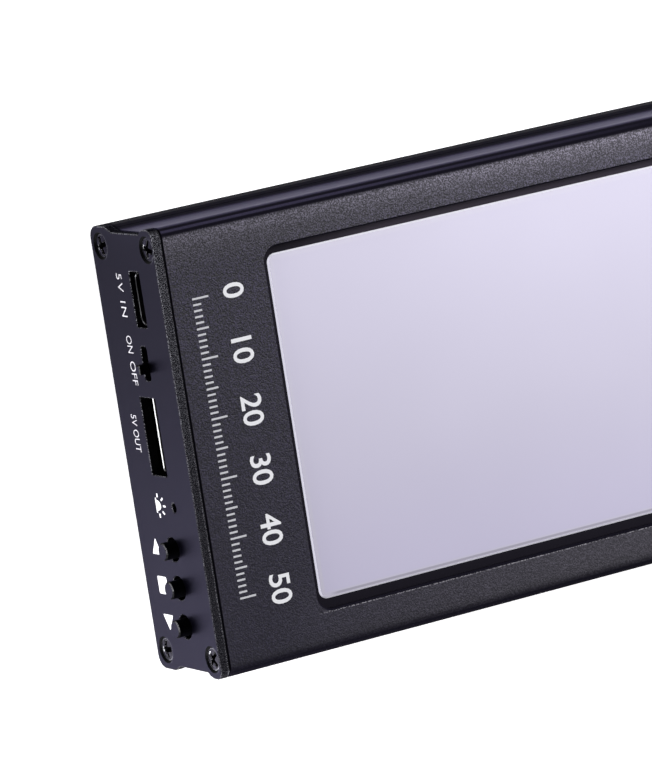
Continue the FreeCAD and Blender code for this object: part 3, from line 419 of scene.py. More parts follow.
@dataclass(frozen=True)
class SatinPlate(Finish):
    """Smooth dark plate with a sand-blasted outline, hole walls painted black as shade, and
    corners with wear and painted glints.
    """

    face: Colour = (0.0046, 0.0041, 0.0096)
    edge: Colour = (0.0060, 0.0056, 0.0080)
    # Near-black colour painted as shade on hole walls.
    shaded_wall: Colour = (0.0015, 0.0015, 0.0018)
    sparkle: Colour = (0.33, 0.33, 0.38)
    bare_and_glint: Colour = (0.28, 0.28, 0.32)
    # Colour of the painted highlight line by the seam.
    line: Colour = (0.22, 0.22, 0.25)
    tint: Colour = (0.85, 0.83, 1.00)
    # Darker reflection tint of the upper end, painted shade.
    shaded_upper_tint: Colour = (0.70, 0.69, 0.77)
    side_tint: Colour = (0.20, 0.20, 0.24)
    grain: float = 0.11
    grit: Span = (0.57, 0.72)
    wear_and_glint: Span = (0.50, 0.66)
    facing: Span = (0.93, 0.98)
    seam: float = 63.45
    shaded_seat: float = 2.35
    ease: float = 0.05
    side: Span = (36.2, 36.3)
    middle: float = 11.0
    half_high: Span = (10.4, 10.5)
    across: Span = (-36, 36)
    top: Span = (-20, 38)
    blasted: Span = (0.25, 0.90)

    def shader(self, paint: Paint) -> Socket:
        """Face and edges, the face reflecting more towards the lower end, the upper end's darker
        reflection being painted shade.

        Args:
            paint: the material's paint.

        Returns:
            The shader.
        """
        outward = abs(paint.normal_x)
        face = outward.rise(*self.facing)
        fine = paint.noise(self.grain, 1)
        grit = paint.noise(self.grain, 0.0).rise(*self.grit)
        plain = paint.shade(self.face, paint.noise(11.0, 1).about(1, 0.16))
        # Painted highlight beside each screw on the face.
        plain = paint.mix(0.6 * self.arc(paint) * fine.rise(0.45, 0.6), plain, self.bare_and_glint)
        height = (1 - face) * (0.6 * fine + 0.4 * grit) + 0.02 * fine
        shared = {"Base_Color": paint.mix(face, self.edges(paint, outward, face, grit), plain),
                  "Roughness": fine.about(face.between(0.54, 0.34), 0.1),
                  "Normal": paint.bump(height, 0.04), "Specular_IOR_Level": 0.04}
        # Painted shade: the upper end reflects less, through a darker tint.
        ends = [paint.shader(Specular_Tint=tint, Metallic=face, **shared)
                for tint in (self.tint, self.shaded_upper_tint)]
        sides = paint.shader(Specular_Tint=self.side_tint, Metallic=1.0, **shared)
        return paint.blend(abs(paint.normal_y).rise(0.8, 0.9),
                           paint.blend(paint.y.rise(*self.across), *ends), sides)

    def edges(self, paint: Paint, outward: Field, face: Field, grit: Field) -> Socket:
        """Colour of everything but the face.

        Args:
            paint: the material's paint.
            outward: how far the surface looks out of the plate.
            face: mask of the plate's face.
            grit: mask of the blasted grains.

        Returns:
            The colour, with the seam black and the screws' countersinks painted black as shade.
        """
        wear_and_glint = paint.noise(self.grain * 1.6, 1).rise(*self.wear_and_glint)
        shaded_seat = near_screws(paint, SCREW_PLACES).rise(self.shaded_seat, self.shaded_seat + self.ease)
        seam = 1 - abs(paint.x).rise(self.seam - self.ease, self.seam)
        outline = abs(paint.z - self.middle).rise(*self.half_high)
        outline = abs(paint.y).rise(*self.side).most(outline)
        top = paint.y.rise(*self.top)
        # Painted light: the blasted sparkle is brighter towards the upper side.
        blasted = grit * top.between(*self.blasted)
        blasted = blasted * abs(paint.normal_y).rise(0.5, 0.8).between(1, 0.1)
        # Hole walls take the near-black colour, painted shade.
        band = paint.mix(outline, self.shaded_wall, paint.mix(blasted, self.edge, self.sparkle))
        # Light dots on chamfered corners: partly wear, partly painted glints, fewer on the lower
        # outline.
        corner = outward.rise(0.3, 0.5) * (1 - face) * shaded_seat * (1 - seam)
        band = paint.mix(corner * wear_and_glint * (1 - 0.75 * outline * (1 - top)), band, self.bare_and_glint)
        # Painted highlight: a thin light line beside the seam, brighter towards the lower end.
        line = abs(paint.x).band(self.seam + 0.12, 0.07, 0.06) * wear_and_glint * top.between(1, 0.2)
        band = paint.mix(line * outline, band, self.line)
        # Painted shade: the screws' countersinks are painted black.
        return paint.shade(band, seam.between(1, 0.08) * shaded_seat.between(0.1, 1))

    def arc(self, paint: Paint) -> Field:
        """Painted highlight: thin line round the front side of each screw's countersink.

        Args:
            paint: the material's paint.

        Returns:
            The line's mask.
        """
        behind = near_screws(paint, [(y, z - 0.3) for y, z in SCREW_PLACES])
        line = near_screws(paint, SCREW_PLACES).band(self.shaded_seat + 0.07, 0.05, 0.05)
        return line * behind.rise(self.shaded_seat + 0.2, self.shaded_seat + 0.3)


def near_screws(paint: Paint, screws: Iterable[Point]) -> Field:
    """Distance from the nearest screw's axis.

    Args:
        paint: the material's paint.
        screws: the axes' places on the positive side, (y, z) in mm.

    Returns:
        The distance, in mm.
    """
    side = abs(paint.y)
    nearest = None
    for y, z in screws:
        reach = ((side - y) * (side - y) + (paint.z - z) * (paint.z - z)).root()
        nearest = reach if nearest is None else nearest.least(reach)
    return nearest


@dataclass(frozen=True)
class BlackOxide(Finish):
    """Blackened steel, scuffed bright where a driver touches it."""

    tone: Colour = (0.0080, 0.0075, 0.0120)
    # Lighter head colour of the lower screws, painted light.
    lower: Colour = (0.0450, 0.0430, 0.0520)
    tint: Colour = (0.80, 0.78, 0.92)
    # Black painted as shade in the screw recesses.
    shaded_pit: Colour = (0.0012, 0.0012, 0.0015)
    wear_and_sheen: Colour = (0.75, 0.75, 0.80)
    across: Span = (-36, 36)
    rim: float = 64.65
    dome: float = 0.2
    edge: float = 1.84
    deep: Span = (0.03, 0.06)
    lip: Band = (0.14, 0.07, 0.05)
    gloss: Span = (0.34, 0.2)

    def shader(self, paint: Paint) -> Socket:
        """Dark head, lighter on the lower screws as painted light, a recess painted black as
        shade, and bright spots along the recess's edge.

        Args:
            paint: the material's paint.

        Returns:
            The shader.
        """
        radius = near_screws(paint, SCREW_PLACES)
        uneven = paint.noise(0.4)
        depth = self.rim + self.dome - self.dome / self.edge ** 2 * radius * radius - abs(paint.x)
        # Painted shade: the recess turns black with depth.
        shaded_pit = depth.rise(*self.deep)
        upper = paint.y.rise(*self.across)
        wear_and_sheen = depth.band(*self.lip) * uneven.rise(0.42, 0.52)
        wear_and_sheen = wear_and_sheen * (1 - abs(paint.normal_x).rise(0.8, 0.95))
        # Wear on the head's rim, made stronger on the lower screws as painted light.
        wear_and_glint = radius.band(self.edge, 0.05, 0.06) * uneven.rise(0.40, 0.55)
        wear_and_sheen = wear_and_sheen.most(wear_and_glint * upper.between(0.30, 0.10))
        # Painted light: heads of the lower screws are lighter.
        head = paint.shade(paint.mix(upper, self.lower, self.tone), uneven.about(1, 1.2))
        colour = paint.mix(wear_and_sheen, paint.mix(shaded_pit, head, self.shaded_pit), self.wear_and_sheen)
        return paint.shader(Base_Color=colour, Roughness=uneven.about(*self.gloss),
                            Metallic=(1 - shaded_pit).most(wear_and_sheen), Normal=paint.bump(uneven, 0.02),
                            Specular_IOR_Level=0.02, Specular_Tint=self.tint)


@dataclass(frozen=True)
class SocketShell(Finish):
    """Nickel-plated socket shell, bright at its lip, its inside painted dark as shade."""

    front: float = -64.2
    lip: float = 0.06
    bright: Colour = (0.14, 0.14, 0.15)
    fade: float = 0.7
    # Dark colour painted as shade inside the socket.
    shaded_wall: Colour = (0.006, 0.006, 0.007)
    slant: Band = (0.707, 0.15, 0.08)
    gloss: Span = (0.34, 0.2)
    far: Span = (21, 29)

    def shader(self, paint: Paint) -> Socket:
        """Lip told apart by its depth and by its slant.

        Args:
            paint: the material's paint.

        Returns:
            The shader.
        """
        lip = 1 - paint.x.rise(self.front + self.lip, self.front + self.lip + 0.04)
        lip = lip * (-paint.normal_x).band(*self.slant)
        marks = paint.noise(0.3, stretch=(0.3, 3, 3))
        # The inside is painted dark as shade; only the lip keeps the bright metal.
        colour = paint.shade(paint.mix(lip, self.shaded_wall, self.bright), marks.about(1, 0.3))
        # Painted shade: darker towards the far end along +Y.
        colour = paint.shade(colour, 1 - self.fade * paint.y.rise(*self.far))
        return paint.shader(
            Base_Color=colour, Roughness=marks.about(*self.gloss), Metallic=lip.between(0.1, 1),
            Normal=paint.bump(marks, 0.004), Specular_IOR_Level=0.1)


@dataclass(frozen=True)
class LavenderPane(Finish):
    """Clear glass over a pale lavender film."""

    film: Colour = (0.575, 0.548, 0.685)
    low: Colour = (0.572, 0.540, 0.715)
    border: Colour = (0.585, 0.560, 0.684)
    edge: Colour = (0.92, 0.92, 0.98)
    # Colour of the painted emission on the ground edge.
    painted_glow: Colour = (0.37, 0.36, 0.43)
    roughness: float = 0.16
    half_wide: float = 29.1
    ends: Span = (-43.65, 55.15)
    margin: Span = (0.8, 1.3)
    across: Span = (-34, 34)
    lower: Span = (-34, 0)
    brighter: Span = (1.0, 1.21)
    bevel: Span = (0.75, 0.97)
    steep: Span = (0.25, 0.45)
    shadow: Band = (0.6, 0.1, 0.2)
    shadow_share: float = 0.34

    def shader(self, paint: Paint) -> Socket:
        """Film with a greyer border, painted brighter towards the upper side, and a ground edge
        whose highlight and emission are painted light.

        Args:
            paint: the material's paint.

        Returns:
            The shader.
        """
        start, end = self.ends
        ground = 1 - paint.normal_z.rise(*self.bevel)
        cloud = paint.noise(32.0)
        inset = (self.half_wide - abs(paint.y)).least(paint.x - start).least(end - paint.x)
        film = paint.mix(paint.y.rise(*self.lower), self.low, self.film)
        film = paint.mix(1 - inset.rise(*self.margin), film, self.border)
        shadow = (paint.y + self.half_wide).band(*self.shadow) * (paint.x - start).rise(1.5, 4)
        # Painted light: the film brightens towards the upper side; the shadow is a painted line
        # along the lower edge.
        tone = cloud.about(0.96, 0.07) * paint.y.rise(*self.across).between(*self.brighter)
        tone = tone * (1 - self.shadow_share * shadow)
        # Painted highlight on the ground edge, strongest where it faces up.
        lit = paint.normal_z.rise(*self.steep)
        lit = lit * abs(paint.normal_y).rise(0.3, 0.6).between(1, 0.7)
        edge = paint.shade(self.edge, lit.between(0.15, 1))
        # Painted light: emission on the ground edge, stronger on the side facing the port end.
        port_side = (-paint.normal_x).rise(0.3, 0.6).between(1, 1.4)
        return paint.shader(
            Base_Color=paint.mix(ground, paint.shade(film, tone), edge),
            Roughness=cloud.about(self.roughness + 0.25 * ground, 0.04), Coat_Weight=1.0,
            Coat_Roughness=0.28, Coat_IOR=1.4, Specular_IOR_Level=0.1, Emission_Strength=1.0,
            Emission_Color=paint.shade(self.painted_glow, ground * lit * port_side))


@dataclass(frozen=True)
class ButtonCap(Finish):
    """Black button, its end face as satin as the plate round it."""

    side: Colour = (0.0012, 0.0012, 0.0018)
    end: Colour = (0.0055, 0.0050, 0.0110)
    tint: Colour = (0.85, 0.83, 1.00)
    # Colour of the painted highlight crescent on the rim.
    rim: Colour = (0.16, 0.16, 0.17)
    facing: Span = (0.86, 0.97)
    slant: Band = (0.72, 0.06, 0.1)
    lit: Span = (0.35, 0.7)

    def shader(self, paint: Paint) -> Socket:
        """End, rim and side told apart by which way they look; the rim's light crescent on one
        side is a painted highlight.

        Args:
            paint: the material's paint.

        Returns:
            The shader.
        """
        fine = paint.noise(0.18)
        outward = -paint.normal_x
        # Painted highlight: a light crescent on the rim's side facing +Z and +Y.
        rim = (0.8 * paint.normal_z + 0.6 * paint.normal_y).rise(*self.lit)
        rim = outward.band(*self.slant) * rim
        shared = {"Roughness": fine.about(0.36, 0.2), "Normal": paint.bump(fine, 0.006)}
        satin = paint.shader(Base_Color=paint.shade(self.end, fine.about(1, 0.4)), Metallic=1.0,
                             Specular_Tint=self.tint, **shared)
        colour = paint.mix(rim * fine.rise(0.35, 0.6), self.side, self.rim)
        black = paint.shader(Base_Color=colour, Specular_IOR_Level=0.015, **shared)
        return paint.blend(outward.rise(*self.facing), black, satin)


@dataclass(frozen=True)
class Marks:
    """One scale of marks: its size in mm, and what it does to shade, gloss and height."""

    size: float
    detail: float = 2.0
    stretch: Place = (1, 1, 1)
    shade: float = 0.0
    gloss: float = 0.0
    rise: float = 0.0


@dataclass(frozen=True)
class Textured(Finish):
    """One tone under marks of one or two scales."""

    tone: Colour
    roughness: float = 0.5
    marks: tuple[Marks, ...] = ()
    metal: float = 0.0
    sheen: float = 0.5
    clear: float = 0.0

    def colour(self, paint: Paint) -> Term:
        """Colour under the marks."""
        return self.tone

    def shader(self, paint: Paint) -> Socket:
        """Add up what the marks do.

        Args:
            paint: the material's paint.

        Returns:
            The shader.
        """
        shade: Term = 1.0
        rough: Term = self.roughness
        relief = {}
        for marks in self.marks:
            field = paint.noise(marks.size, marks.detail, marks.stretch)
            shade = field.about(shade, marks.shade) if marks.shade else shade
            rough = field.about(rough, marks.gloss) if marks.gloss else rough
            if marks.rise:
                relief["Normal"] = paint.bump(field, marks.rise)
        return paint.shader(Base_Color=paint.shade(self.colour(paint), shade), Roughness=rough,
                            Metallic=self.metal, Specular_IOR_Level=self.sheen,
                            Transmission_Weight=self.clear, **relief)


def moulded(grain: float, rise: float) -> tuple[Marks, ...]:
    """Marks of a mould: its spark-eroded texture, and slight flow marks."""
    flow = Marks(6.0, stretch=(1, 0.35, 1), shade=0.16)
    return Marks(grain, shade=0.16, gloss=0.16, rise=rise), flow


@dataclass(frozen=True)
class Moulding(Textured):
    """Moulded plastic with a fine texture."""

    marks: tuple[Marks, ...] = moulded(0.2, 0.006)


@dataclass(frozen=True)
class Plated(Textured):
    """Bright metal plate with rolling marks along X and dull clouds."""

    marks: tuple[Marks, ...] = (
        Marks(0.35, 2.0, (0.25, 4, 4), 0.128, 0.2, 0.004), Marks(3.0, shade=0.266, gloss=0.15))
    metal: float = 1.0


@dataclass(frozen=True)
class FoilPouch(Textured):
    """Aluminium laminate of a battery, with soft creases and a satin gloss."""

    roughness: float = 0.36
    marks: tuple[Marks, ...] = (Marks(5.0, 4.0, shade=0.3, rise=0.25), Marks(0.8, gloss=0.2))
    metal: float = 0.6


@dataclass(frozen=True)
class ClearMoulding(Textured):
    """Clear or milky moulding, slightly hazy, that light passes through."""

    roughness: float = 0.24
    marks: tuple[Marks, ...] = (Marks(1.5, shade=0.16, gloss=0.2),)
    clear: float = 0.6


@dataclass(frozen=True)
class Ink(Textured):
    """Screen-printed ink, slightly uneven, with the mesh's fine texture."""

    tone: Colour = (0.80, 0.80, 0.84)
    roughness: float = 0.55
    marks: tuple[Marks, ...] = (Marks(0.25, shade=0.14, gloss=0.2, rise=0.008),)
    sheen: float = 0.3


@dataclass(frozen=True)
class PaneBorder(Textured):
    """Black border round the pane, painted paler along its upper side as light."""

    tone: Colour = (0.0092, 0.0078, 0.0132)
    marks: tuple[Marks, ...] = (Marks(0.2, shade=0.3, gloss=0.16, rise=0.002),)
    sheen: float = 0.04
    # Paler colour painted as light along the upper side.
    pale: Colour = (0.0370, 0.0310, 0.0435)
    across: Span = (-24, 30)
    along: Span = (-46, -20)

    def colour(self, paint: Paint) -> Term:
        """Painted light: paler towards the upper side, but not at the port end."""
        pale = paint.y.rise(*self.across) * paint.x.rise(*self.along)
        return paint.mix(pale, self.tone, self.pale)


@dataclass(frozen=True)
class TwinLead(Textured):
    """A pair of insulated wires, one red and one black."""

    tone: Colour = (0.012, 0.012, 0.012)
    roughness: float = 0.455
    marks: tuple[Marks, ...] = (Marks(0.5, shade=0.3, gloss=0.15, rise=0.01),)
    live: Colour = (0.42, 0.015, 0.012)
    middle: Span = (-15.01, -14.99)

    def colour(self, paint: Paint) -> Term:
        """Red on one side of the pair's middle, black on the other."""
        return paint.mix(paint.y.rise(*self.middle), self.tone, self.live)


@dataclass(frozen=True)
class Cellular(Finish):
    """Closed-cell foam or foam tape."""

    tone: Colour
    cell: float = 0.45
    rise: float = 0.12

    def shader(self, paint: Paint) -> Socket:
        """Round cells, darker between them.

        Args:
            paint: the material's paint.

        Returns:
            The shader.
        """
        cells = paint.cells(self.cell)
        return paint.shader(Base_Color=paint.shade(self.tone, 1.15 - 0.5 * cells),
                            Roughness=0.9 - 0.1 * cells, Normal=paint.bump(1 - cells, self.rise))


@dataclass(frozen=True)
class Laminate(Finish):
    """Circuit board: solder mask over copper tracks."""

    mask: Colour = (0.010, 0.075, 0.035)
    track: Colour = (0.030, 0.16, 0.070)
    edge: Colour = (0.42, 0.40, 0.22)
    pitch: float = 2.6
    gap: float = 0.06
    stagger: float = 0.37

    def shader(self, paint: Paint) -> Socket:
        """Tracks on the flat sides, bare glass fibre round the edge.

        Args:
            paint: the material's paint.

        Returns:
            The shader.
        """
        flat = abs(paint.normal_z).rise(0.8, 0.95)
        inputs = {"Vector": paint.place, "Scale": 1 / self.pitch, "Color1": (1, 1, 1, 1),
                  "Color2": (0, 0, 0, 1), "Mortar": (1, 1, 1, 1), "Mortar Size": self.gap}
        bricks = paint.node("ShaderNodeTexBrick", {"offset": self.stagger}, inputs)
        tracks = paint.field(bricks, "Fac")
        fibre = paint.noise(0.3, stretch=(1, 1, 5))
        lines = tracks * paint.noise(9.0, 1).rise(0.42, 0.5)
        top = paint.mix(lines, self.mask, self.track)
        colour = paint.mix(flat, paint.shade(self.edge, fibre.about(1, 0.6)), top)
        return paint.shader(Base_Color=colour, Roughness=flat.between(0.62, 0.32),
                            Normal=paint.bump(lines * flat, 0.03))


@dataclass(frozen=True)
class AmberFlex(Finish):
    """Polyimide film with copper lines running along it."""

    film: Colour = (0.42, 0.17, 0.025)
    copper: Colour = (0.58, 0.30, 0.11)
    pitch: float = 0.5

    def shader(self, paint: Paint) -> Socket:
        """Parallel lines seen through the film.

        Args:
            paint: the material's paint.

        Returns:
            The shader.
        """
        inputs = {"Vector": paint.place, "Scale": math.pi / (10 * self.pitch), "Distortion": 0.0}
        waves = paint.node("ShaderNodeTexWave", {"bands_direction": "Y"}, inputs)
        lines = paint.field(waves, "Fac").rise(0.45, 0.6)
        return paint.shader(Base_Color=paint.mix(lines, self.film, self.copper), Roughness=0.24,
                            Normal=paint.bump(lines, 0.02))


GOLD = Plated((0.808, 0.564, 0.207), 0.22)
FINISHES: dict[str, Finish] = {
    "case_front": GrainedCoat(),
    "case_rear": GrainedCoat(),
    "end_plate": SatinPlate(),
    "screw": BlackOxide(),
    "glass": LavenderPane(),
    "bezel": PaneBorder(),
    "foam": Cellular((0.030, 0.030, 0.032)),
    "panel": Moulding((0.35, 0.34, 0.40), 0.15, moulded(1.0, 0.002)),
    "light_guide": ClearMoulding((0.86, 0.87, 0.88)),
    "tin": Plated((0.658, 0.658, 0.639), 0.3),
    "tape": Cellular((0.72, 0.72, 0.68), 0.2),
    "flex": AmberFlex(),
    "circuit_board": Laminate(),
    "socket_metal": SocketShell(),
    "black_plastic": Moulding((0.0025, 0.0025, 0.003), 0.5, moulded(0.25, 0.006), sheen=0.12),
    "white_plastic": Moulding((0.80, 0.78, 0.72), 0.42),
    "button": ButtonCap(),
    "spring_steel": Plated((0.564, 0.564, 0.583), 0.24),
    "light": ClearMoulding((0.82, 0.86, 0.74), clear=0.4),
    "chip": Moulding((0.018, 0.018, 0.019), 0.6, moulded(0.12, 0.01)),
    "ferrite": Moulding((0.08, 0.08, 0.085), 0.7, moulded(0.3, 0.03)),
    "battery": FoilPouch((0.46, 0.47, 0.49)),
    "wire": TwinLead(),
    "brass": GOLD,
    "insulator": Moulding((0.88, 0.87, 0.84), 0.35, moulded(0.4, 0.003)),
}
OWN_FINISHES: dict[str, Finish] = {
    "usb_a_shell": SocketShell(-62.7, 0.10, (0.90, 0.90, 0.92), 0.0),
    "power_slider": ButtonCap(),
}
INKS: dict[str, Finish] = {
    "white_ink": Ink(),
    "thin_ink": Ink((0.62, 0.61, 0.66)),
    "pale_ink": Ink((0.56, 0.56, 0.60)),
}


# Making pieces

class Side(Enum):
    """A flat side of the case that carries marks: directions to the right, up and out."""

    PORTS = ((0, -1, 0), (0, 0, 1), (-1, 0, 0))
    FRONT = ((0, -1, 0), (1, 0, 0), (0, 0, 1))
    JACKS = ((0, 1, 0), (0, 0, 1), (1, 0, 0))

    def turned(self, level: float) -> Matrix:
        """Matrix from the side's own plane to the frame.

        Args:
            level: how far out the side lies, in metres.

        Returns:
            The 4 x 4 matrix.
        """
        right, up, out = (Vector(axis) for axis in self.value)
        turn = Matrix((right, up, out)).transposed().to_4x4()
        return Matrix.Translation(out * level) @ turn


@dataclass(frozen=True)
class Lettering:
    """A few letters: height of a capital in mm, width, spacing and weight as shares."""

    text: str
    cap: float
    slim: float = 1.0
    spacing: float = 1.0
    weight: float = 0.0


def placed(name: str, data: bpy.types.ID) -> bpy.types.Object:
    """Put a new object into the scene.

    Args:
        name: its name.
        data: its mesh, curve, lamp or camera.

    Returns:
        The object.
    """
    made = bpy.data.objects.new(name, data)
    bpy.context.scene.collection.objects.link(made)
    return made


class Maker:
    """Turns points, outlines and words into pieces that ride on the case."""

    body = "case"

    def __init__(self) -> None:
        """Start with no materials."""
        self.paints: dict[str, bpy.types.Material] = {}

    def material(self, name: str, finish: Finish) -> bpy.types.Material:
        """Material of a finish, made once.

        Args:
            name: the material's name.
            finish: what it is made from.

        Returns:
            The material.
        """
        if name not in self.paints:
            self.paints[name] = finish.make(name)
        return self.paints[name]

    def piece(self, name: str, shape: Shape, material: bpy.types.Material,
              smooth: float = 30.0) -> bpy.types.Object:
        """Turn a shape into a piece on the case.

        Args:
            name: the piece's name.
            shape: its mesh in metres; freed here.
            material: its finish.
            smooth: sharpest angle that is still shaded smooth, in degrees.

        Returns:
            The piece.
        """
        bmesh.ops.remove_doubles(shape, verts=shape.verts, dist=1e-7)
        bmesh.ops.recalc_face_normals(shape, faces=shape.faces)
        mesh = bpy.data.meshes.new(name)
        shape.to_mesh(mesh)
        shape.free()
        mesh.materials.append(material)
        mesh.shade_smooth()
        mesh.set_sharp_from_angle(angle=math.radians(smooth))
        made = placed(name, mesh)
        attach(made, self.body)
        LOG.info("%s: %d faces", name, len(mesh.polygons))
        return made

    @staticmethod
    def prism(shape: Shape, corners: Sequence[Point], thick: float) -> None:
        """Add a closed prism to a shape.

        Args:
            shape: the shape it goes into.
            corners: its outline, in mm on the plane.
            thick: its height above the plane, in mm.
        """
        low = [shape.verts.new((x * MM, y * MM, 0)) for x, y in corners]
        high = [shape.verts.new((x * MM, y * MM, thick * MM)) for x, y in corners]
        shape.faces.new(low[::-1])
        shape.faces.new(high)
        for i in range(len(low)):
            j = (i + 1) % len(low)
            shape.faces.new((low[i], low[j], high[j], high[i]))

    @staticmethod
    def words(lettering: Lettering, thick: float) -> Shape:
        """Letters as closed solids, centred on the plane.

        Args:
            lettering: what they say and how they look.
            thick: their height above the plane, in mm.

        Returns:
            The shape.
        """
        curve = bpy.data.curves.new("letters", "FONT")
        curve.body = lettering.text
        curve.resolution_u = 4
        curve.extrude = 0.5
        curve.offset = lettering.weight
        curve.space_character = lettering.spacing
        source = placed("letters", curve)
        bpy.context.view_layer.update()
        mesh = source.to_mesh()
        shape = bmesh.new()
        shape.from_mesh(mesh)
        source.to_mesh_clear()
        bpy.data.objects.remove(source)
        bpy.data.curves.remove(curve)
        bmesh.ops.remove_doubles(shape, verts=shape.verts, dist=1e-5)
        low = Vector([min(v.co[axis] for v in shape.verts) for axis in range(3)])
        high = Vector([max(v.co[axis] for v in shape.verts) for axis in range(3)])
        middle = (low + high) / 2
        scale = lettering.cap * MM / (high.y - low.y)
        for vertex in shape.verts:
            flat = (vertex.co - middle) * scale
            vertex.co = (flat.x * lettering.slim, flat.y, (vertex.co.z > 0) * thick * MM)
        return shape


@dataclass
class PrintedMarks:
    """White marks printed on the port plate, the front and the RF plate."""

    maker: Maker
    low: Vector
    high: Vector
    thick: float = 0.02
    port_cap: float = 1.8
    number_cap: float = 3.9
    number_weight: float = 0.012
    jack_cap: float = 3.2
    jacks: tuple[Point, ...] = ((19.0, 11.3), (-19.0, 11.3))
    jack_shift: float = -8.0
    tick_pitch: float = 1.0
    tick_thick: float = 0.32
    tick_high: tuple[float, float, float] = (3.0, 2.2, 1.5)
    number_x: float = -51.7
    tick_x: float = -59.4
    corner: float = 0.18
    divisions: int = 50

    def port_face(self) -> Matrix:
        """Plane of the port plate's face."""
        return Side.PORTS.turned(-self.low.x)

    def print_shape(self, name: str, shape: Shape, plane: Matrix, centre: Point,
                    tone: str = "white_ink") -> None:
        """Put a flat shape on a side and ink it.

        Args:
            name: the piece's name.
            shape: the flat shape.
            plane: matrix of the side's plane.
            centre: where it goes on that plane, in mm.
            tone: which ink.
        """
        move = Matrix.Translation((centre[0] * MM, centre[1] * MM, 0))
        bmesh.ops.transform(shape, matrix=plane @ move, verts=shape.verts)
        self.maker.piece(name, shape, self.maker.material(tone, INKS[tone]))

    def build(self) -> None:
        """Print everything."""
        self.port_words()
        self.port_signs()
        self.light_sign()
        self.front_scale()
        self.jack_numbers()

    def port_words(self) -> None:
        """Words by the sockets and the switch."""
        cap = self.port_cap
        thin = -0.008
        labels = (("usb_c_label", Lettering("5V IN", cap, 1.02, 1.2, thin), (-26.2, 8.2)),
                  ("on_label", Lettering("ON", cap, 0.765, weight=thin), (-17.95, 8.18)),
                  ("off_label", Lettering("OFF", cap, 0.905, weight=thin), (-13.1, 8.1)),
                  ("usb_a_label", Lettering("5V OUT", cap, 0.70, weight=thin), (-2.8, 5.3)))
        for name, lettering, centre in labels:
            shape = self.maker.words(lettering, self.thick)
            self.print_shape(name, shape, self.port_face(), centre, "thin_ink")

    def port_signs(self) -> None:
        """Triangle, square and triangle by the buttons."""
        signs = (
            ("up_mark", [(1.4, -1.6), (1.4, 1.6), (-1.4, 0)], (16.25, 5.9)),
            ("select_mark", [(-1.5, -1.55), (1.5, -1.55), (1.5, 1.55), (-1.5, 1.55)], (22.9, 6.1)),
            ("down_mark", [(-1.35, 1.7), (-1.35, -1.7), (1.35, 0)], (29.25, 6.2)))
        for name, corners, centre in signs:
            shape = bmesh.new()
            self.maker.prism(shape, self.eased(corners), self.thick)
            self.print_shape(name, shape, self.port_face(), centre)

    def eased(self, corners: Sequence[Point]) -> list[Point]:
        """Cut an outline's corners back a little, as ink draws them.

        Args:
            corners: the outline, in mm.

        Returns:
            The eased outline.
        """
        eased = []
        for i, corner in enumerate(corners):
            here = Vector(corner)
            for other in (corners[i - 1], corners[(i + 1) % len(corners)]):
                step = (Vector(other) - here).normalized() * self.corner
                eased.append(tuple(here + step))
        return eased

    def light_sign(self) -> None:
        """Half-round lamp with five rays, over its base line."""
        shape = bmesh.new()
        wide, high, steps = 0.92, 1.44, 16
        dome = [(wide * math.cos(math.pi * i / steps), high * math.sin(math.pi * i / steps))
                for i in range(steps + 1)]
        self.maker.prism(shape, dome, self.thick)
        foot, low, top = 1.27, -0.32, 0.05
        self.maker.prism(shape, [(-foot, low), (foot, low), (foot, top), (-foot, top)], self.thick)
        near, far, half, lift, squeeze = 1.75, 2.6, 0.2, Vector((0, 0.45)), 0.79
        for turn in (4, 48, 90, 132, 176):
            along = Vector((math.cos(math.radians(turn)), math.sin(math.radians(turn))))
            across = Vector((-along.y, along.x)) * half
            corners = [along * near + across, along * near - across,
                       along * far - across, along * far + across]
            rays = [((corner + lift).x * squeeze, (corner + lift).y) for corner in corners]
            self.maker.prism(shape, rays, self.thick)
        self.print_shape("light_mark", shape, self.port_face(), (9.1, 8.6))

    def front_scale(self) -> None:
        """Fifty-division scale with its numbers, between the plate and the window."""
        plane = Side.FRONT.turned(self.high.z)
        ticks = bmesh.new()
        half = self.tick_thick / 2
        for i in range(self.divisions + 1):
            long = self.tick_high[0 if i % 10 == 0 else 1 if i % 5 == 0 else 2]
            x = (i - self.divisions / 2) * self.tick_pitch
            corners = [(x - half, 0), (x + half, 0), (x + half, long), (x - half, long)]
            self.maker.prism(ticks, corners, self.thick)
        self.print_shape("scale_ticks", ticks, plane, (0, self.tick_x), "pale_ink")
        numbers = bmesh.new()
        for i in range(0, self.divisions + 1, 10):
            lettering = Lettering(str(i), self.number_cap, weight=self.number_weight)
            figure = self.maker.words(lettering, self.thick)
            shift = Matrix.Translation(((i - self.divisions / 2) * self.tick_pitch * MM, 0, 0))
            bmesh.ops.transform(figure, matrix=shift, verts=figure.verts)
            spare = bpy.data.meshes.new("figure")
            figure.to_mesh(spare)
            figure.free()
            numbers.from_mesh(spare)
            bpy.data.meshes.remove(spare)
        self.print_shape("scale_numbers", numbers, plane, (0, self.number_x))

    def jack_numbers(self) -> None:
        """Numbers of the RF jacks on their plate."""
        plane = Side.JACKS.turned(self.high.x)
        for number, (y, z) in enumerate(self.jacks, start=1):
            lettering = Lettering(str(number), self.jack_cap, weight=self.number_weight)
            shape = self.maker.words(lettering, self.thick)
            self.print_shape(f"jack_{number}_label", shape, plane, (y + self.jack_shift, z))


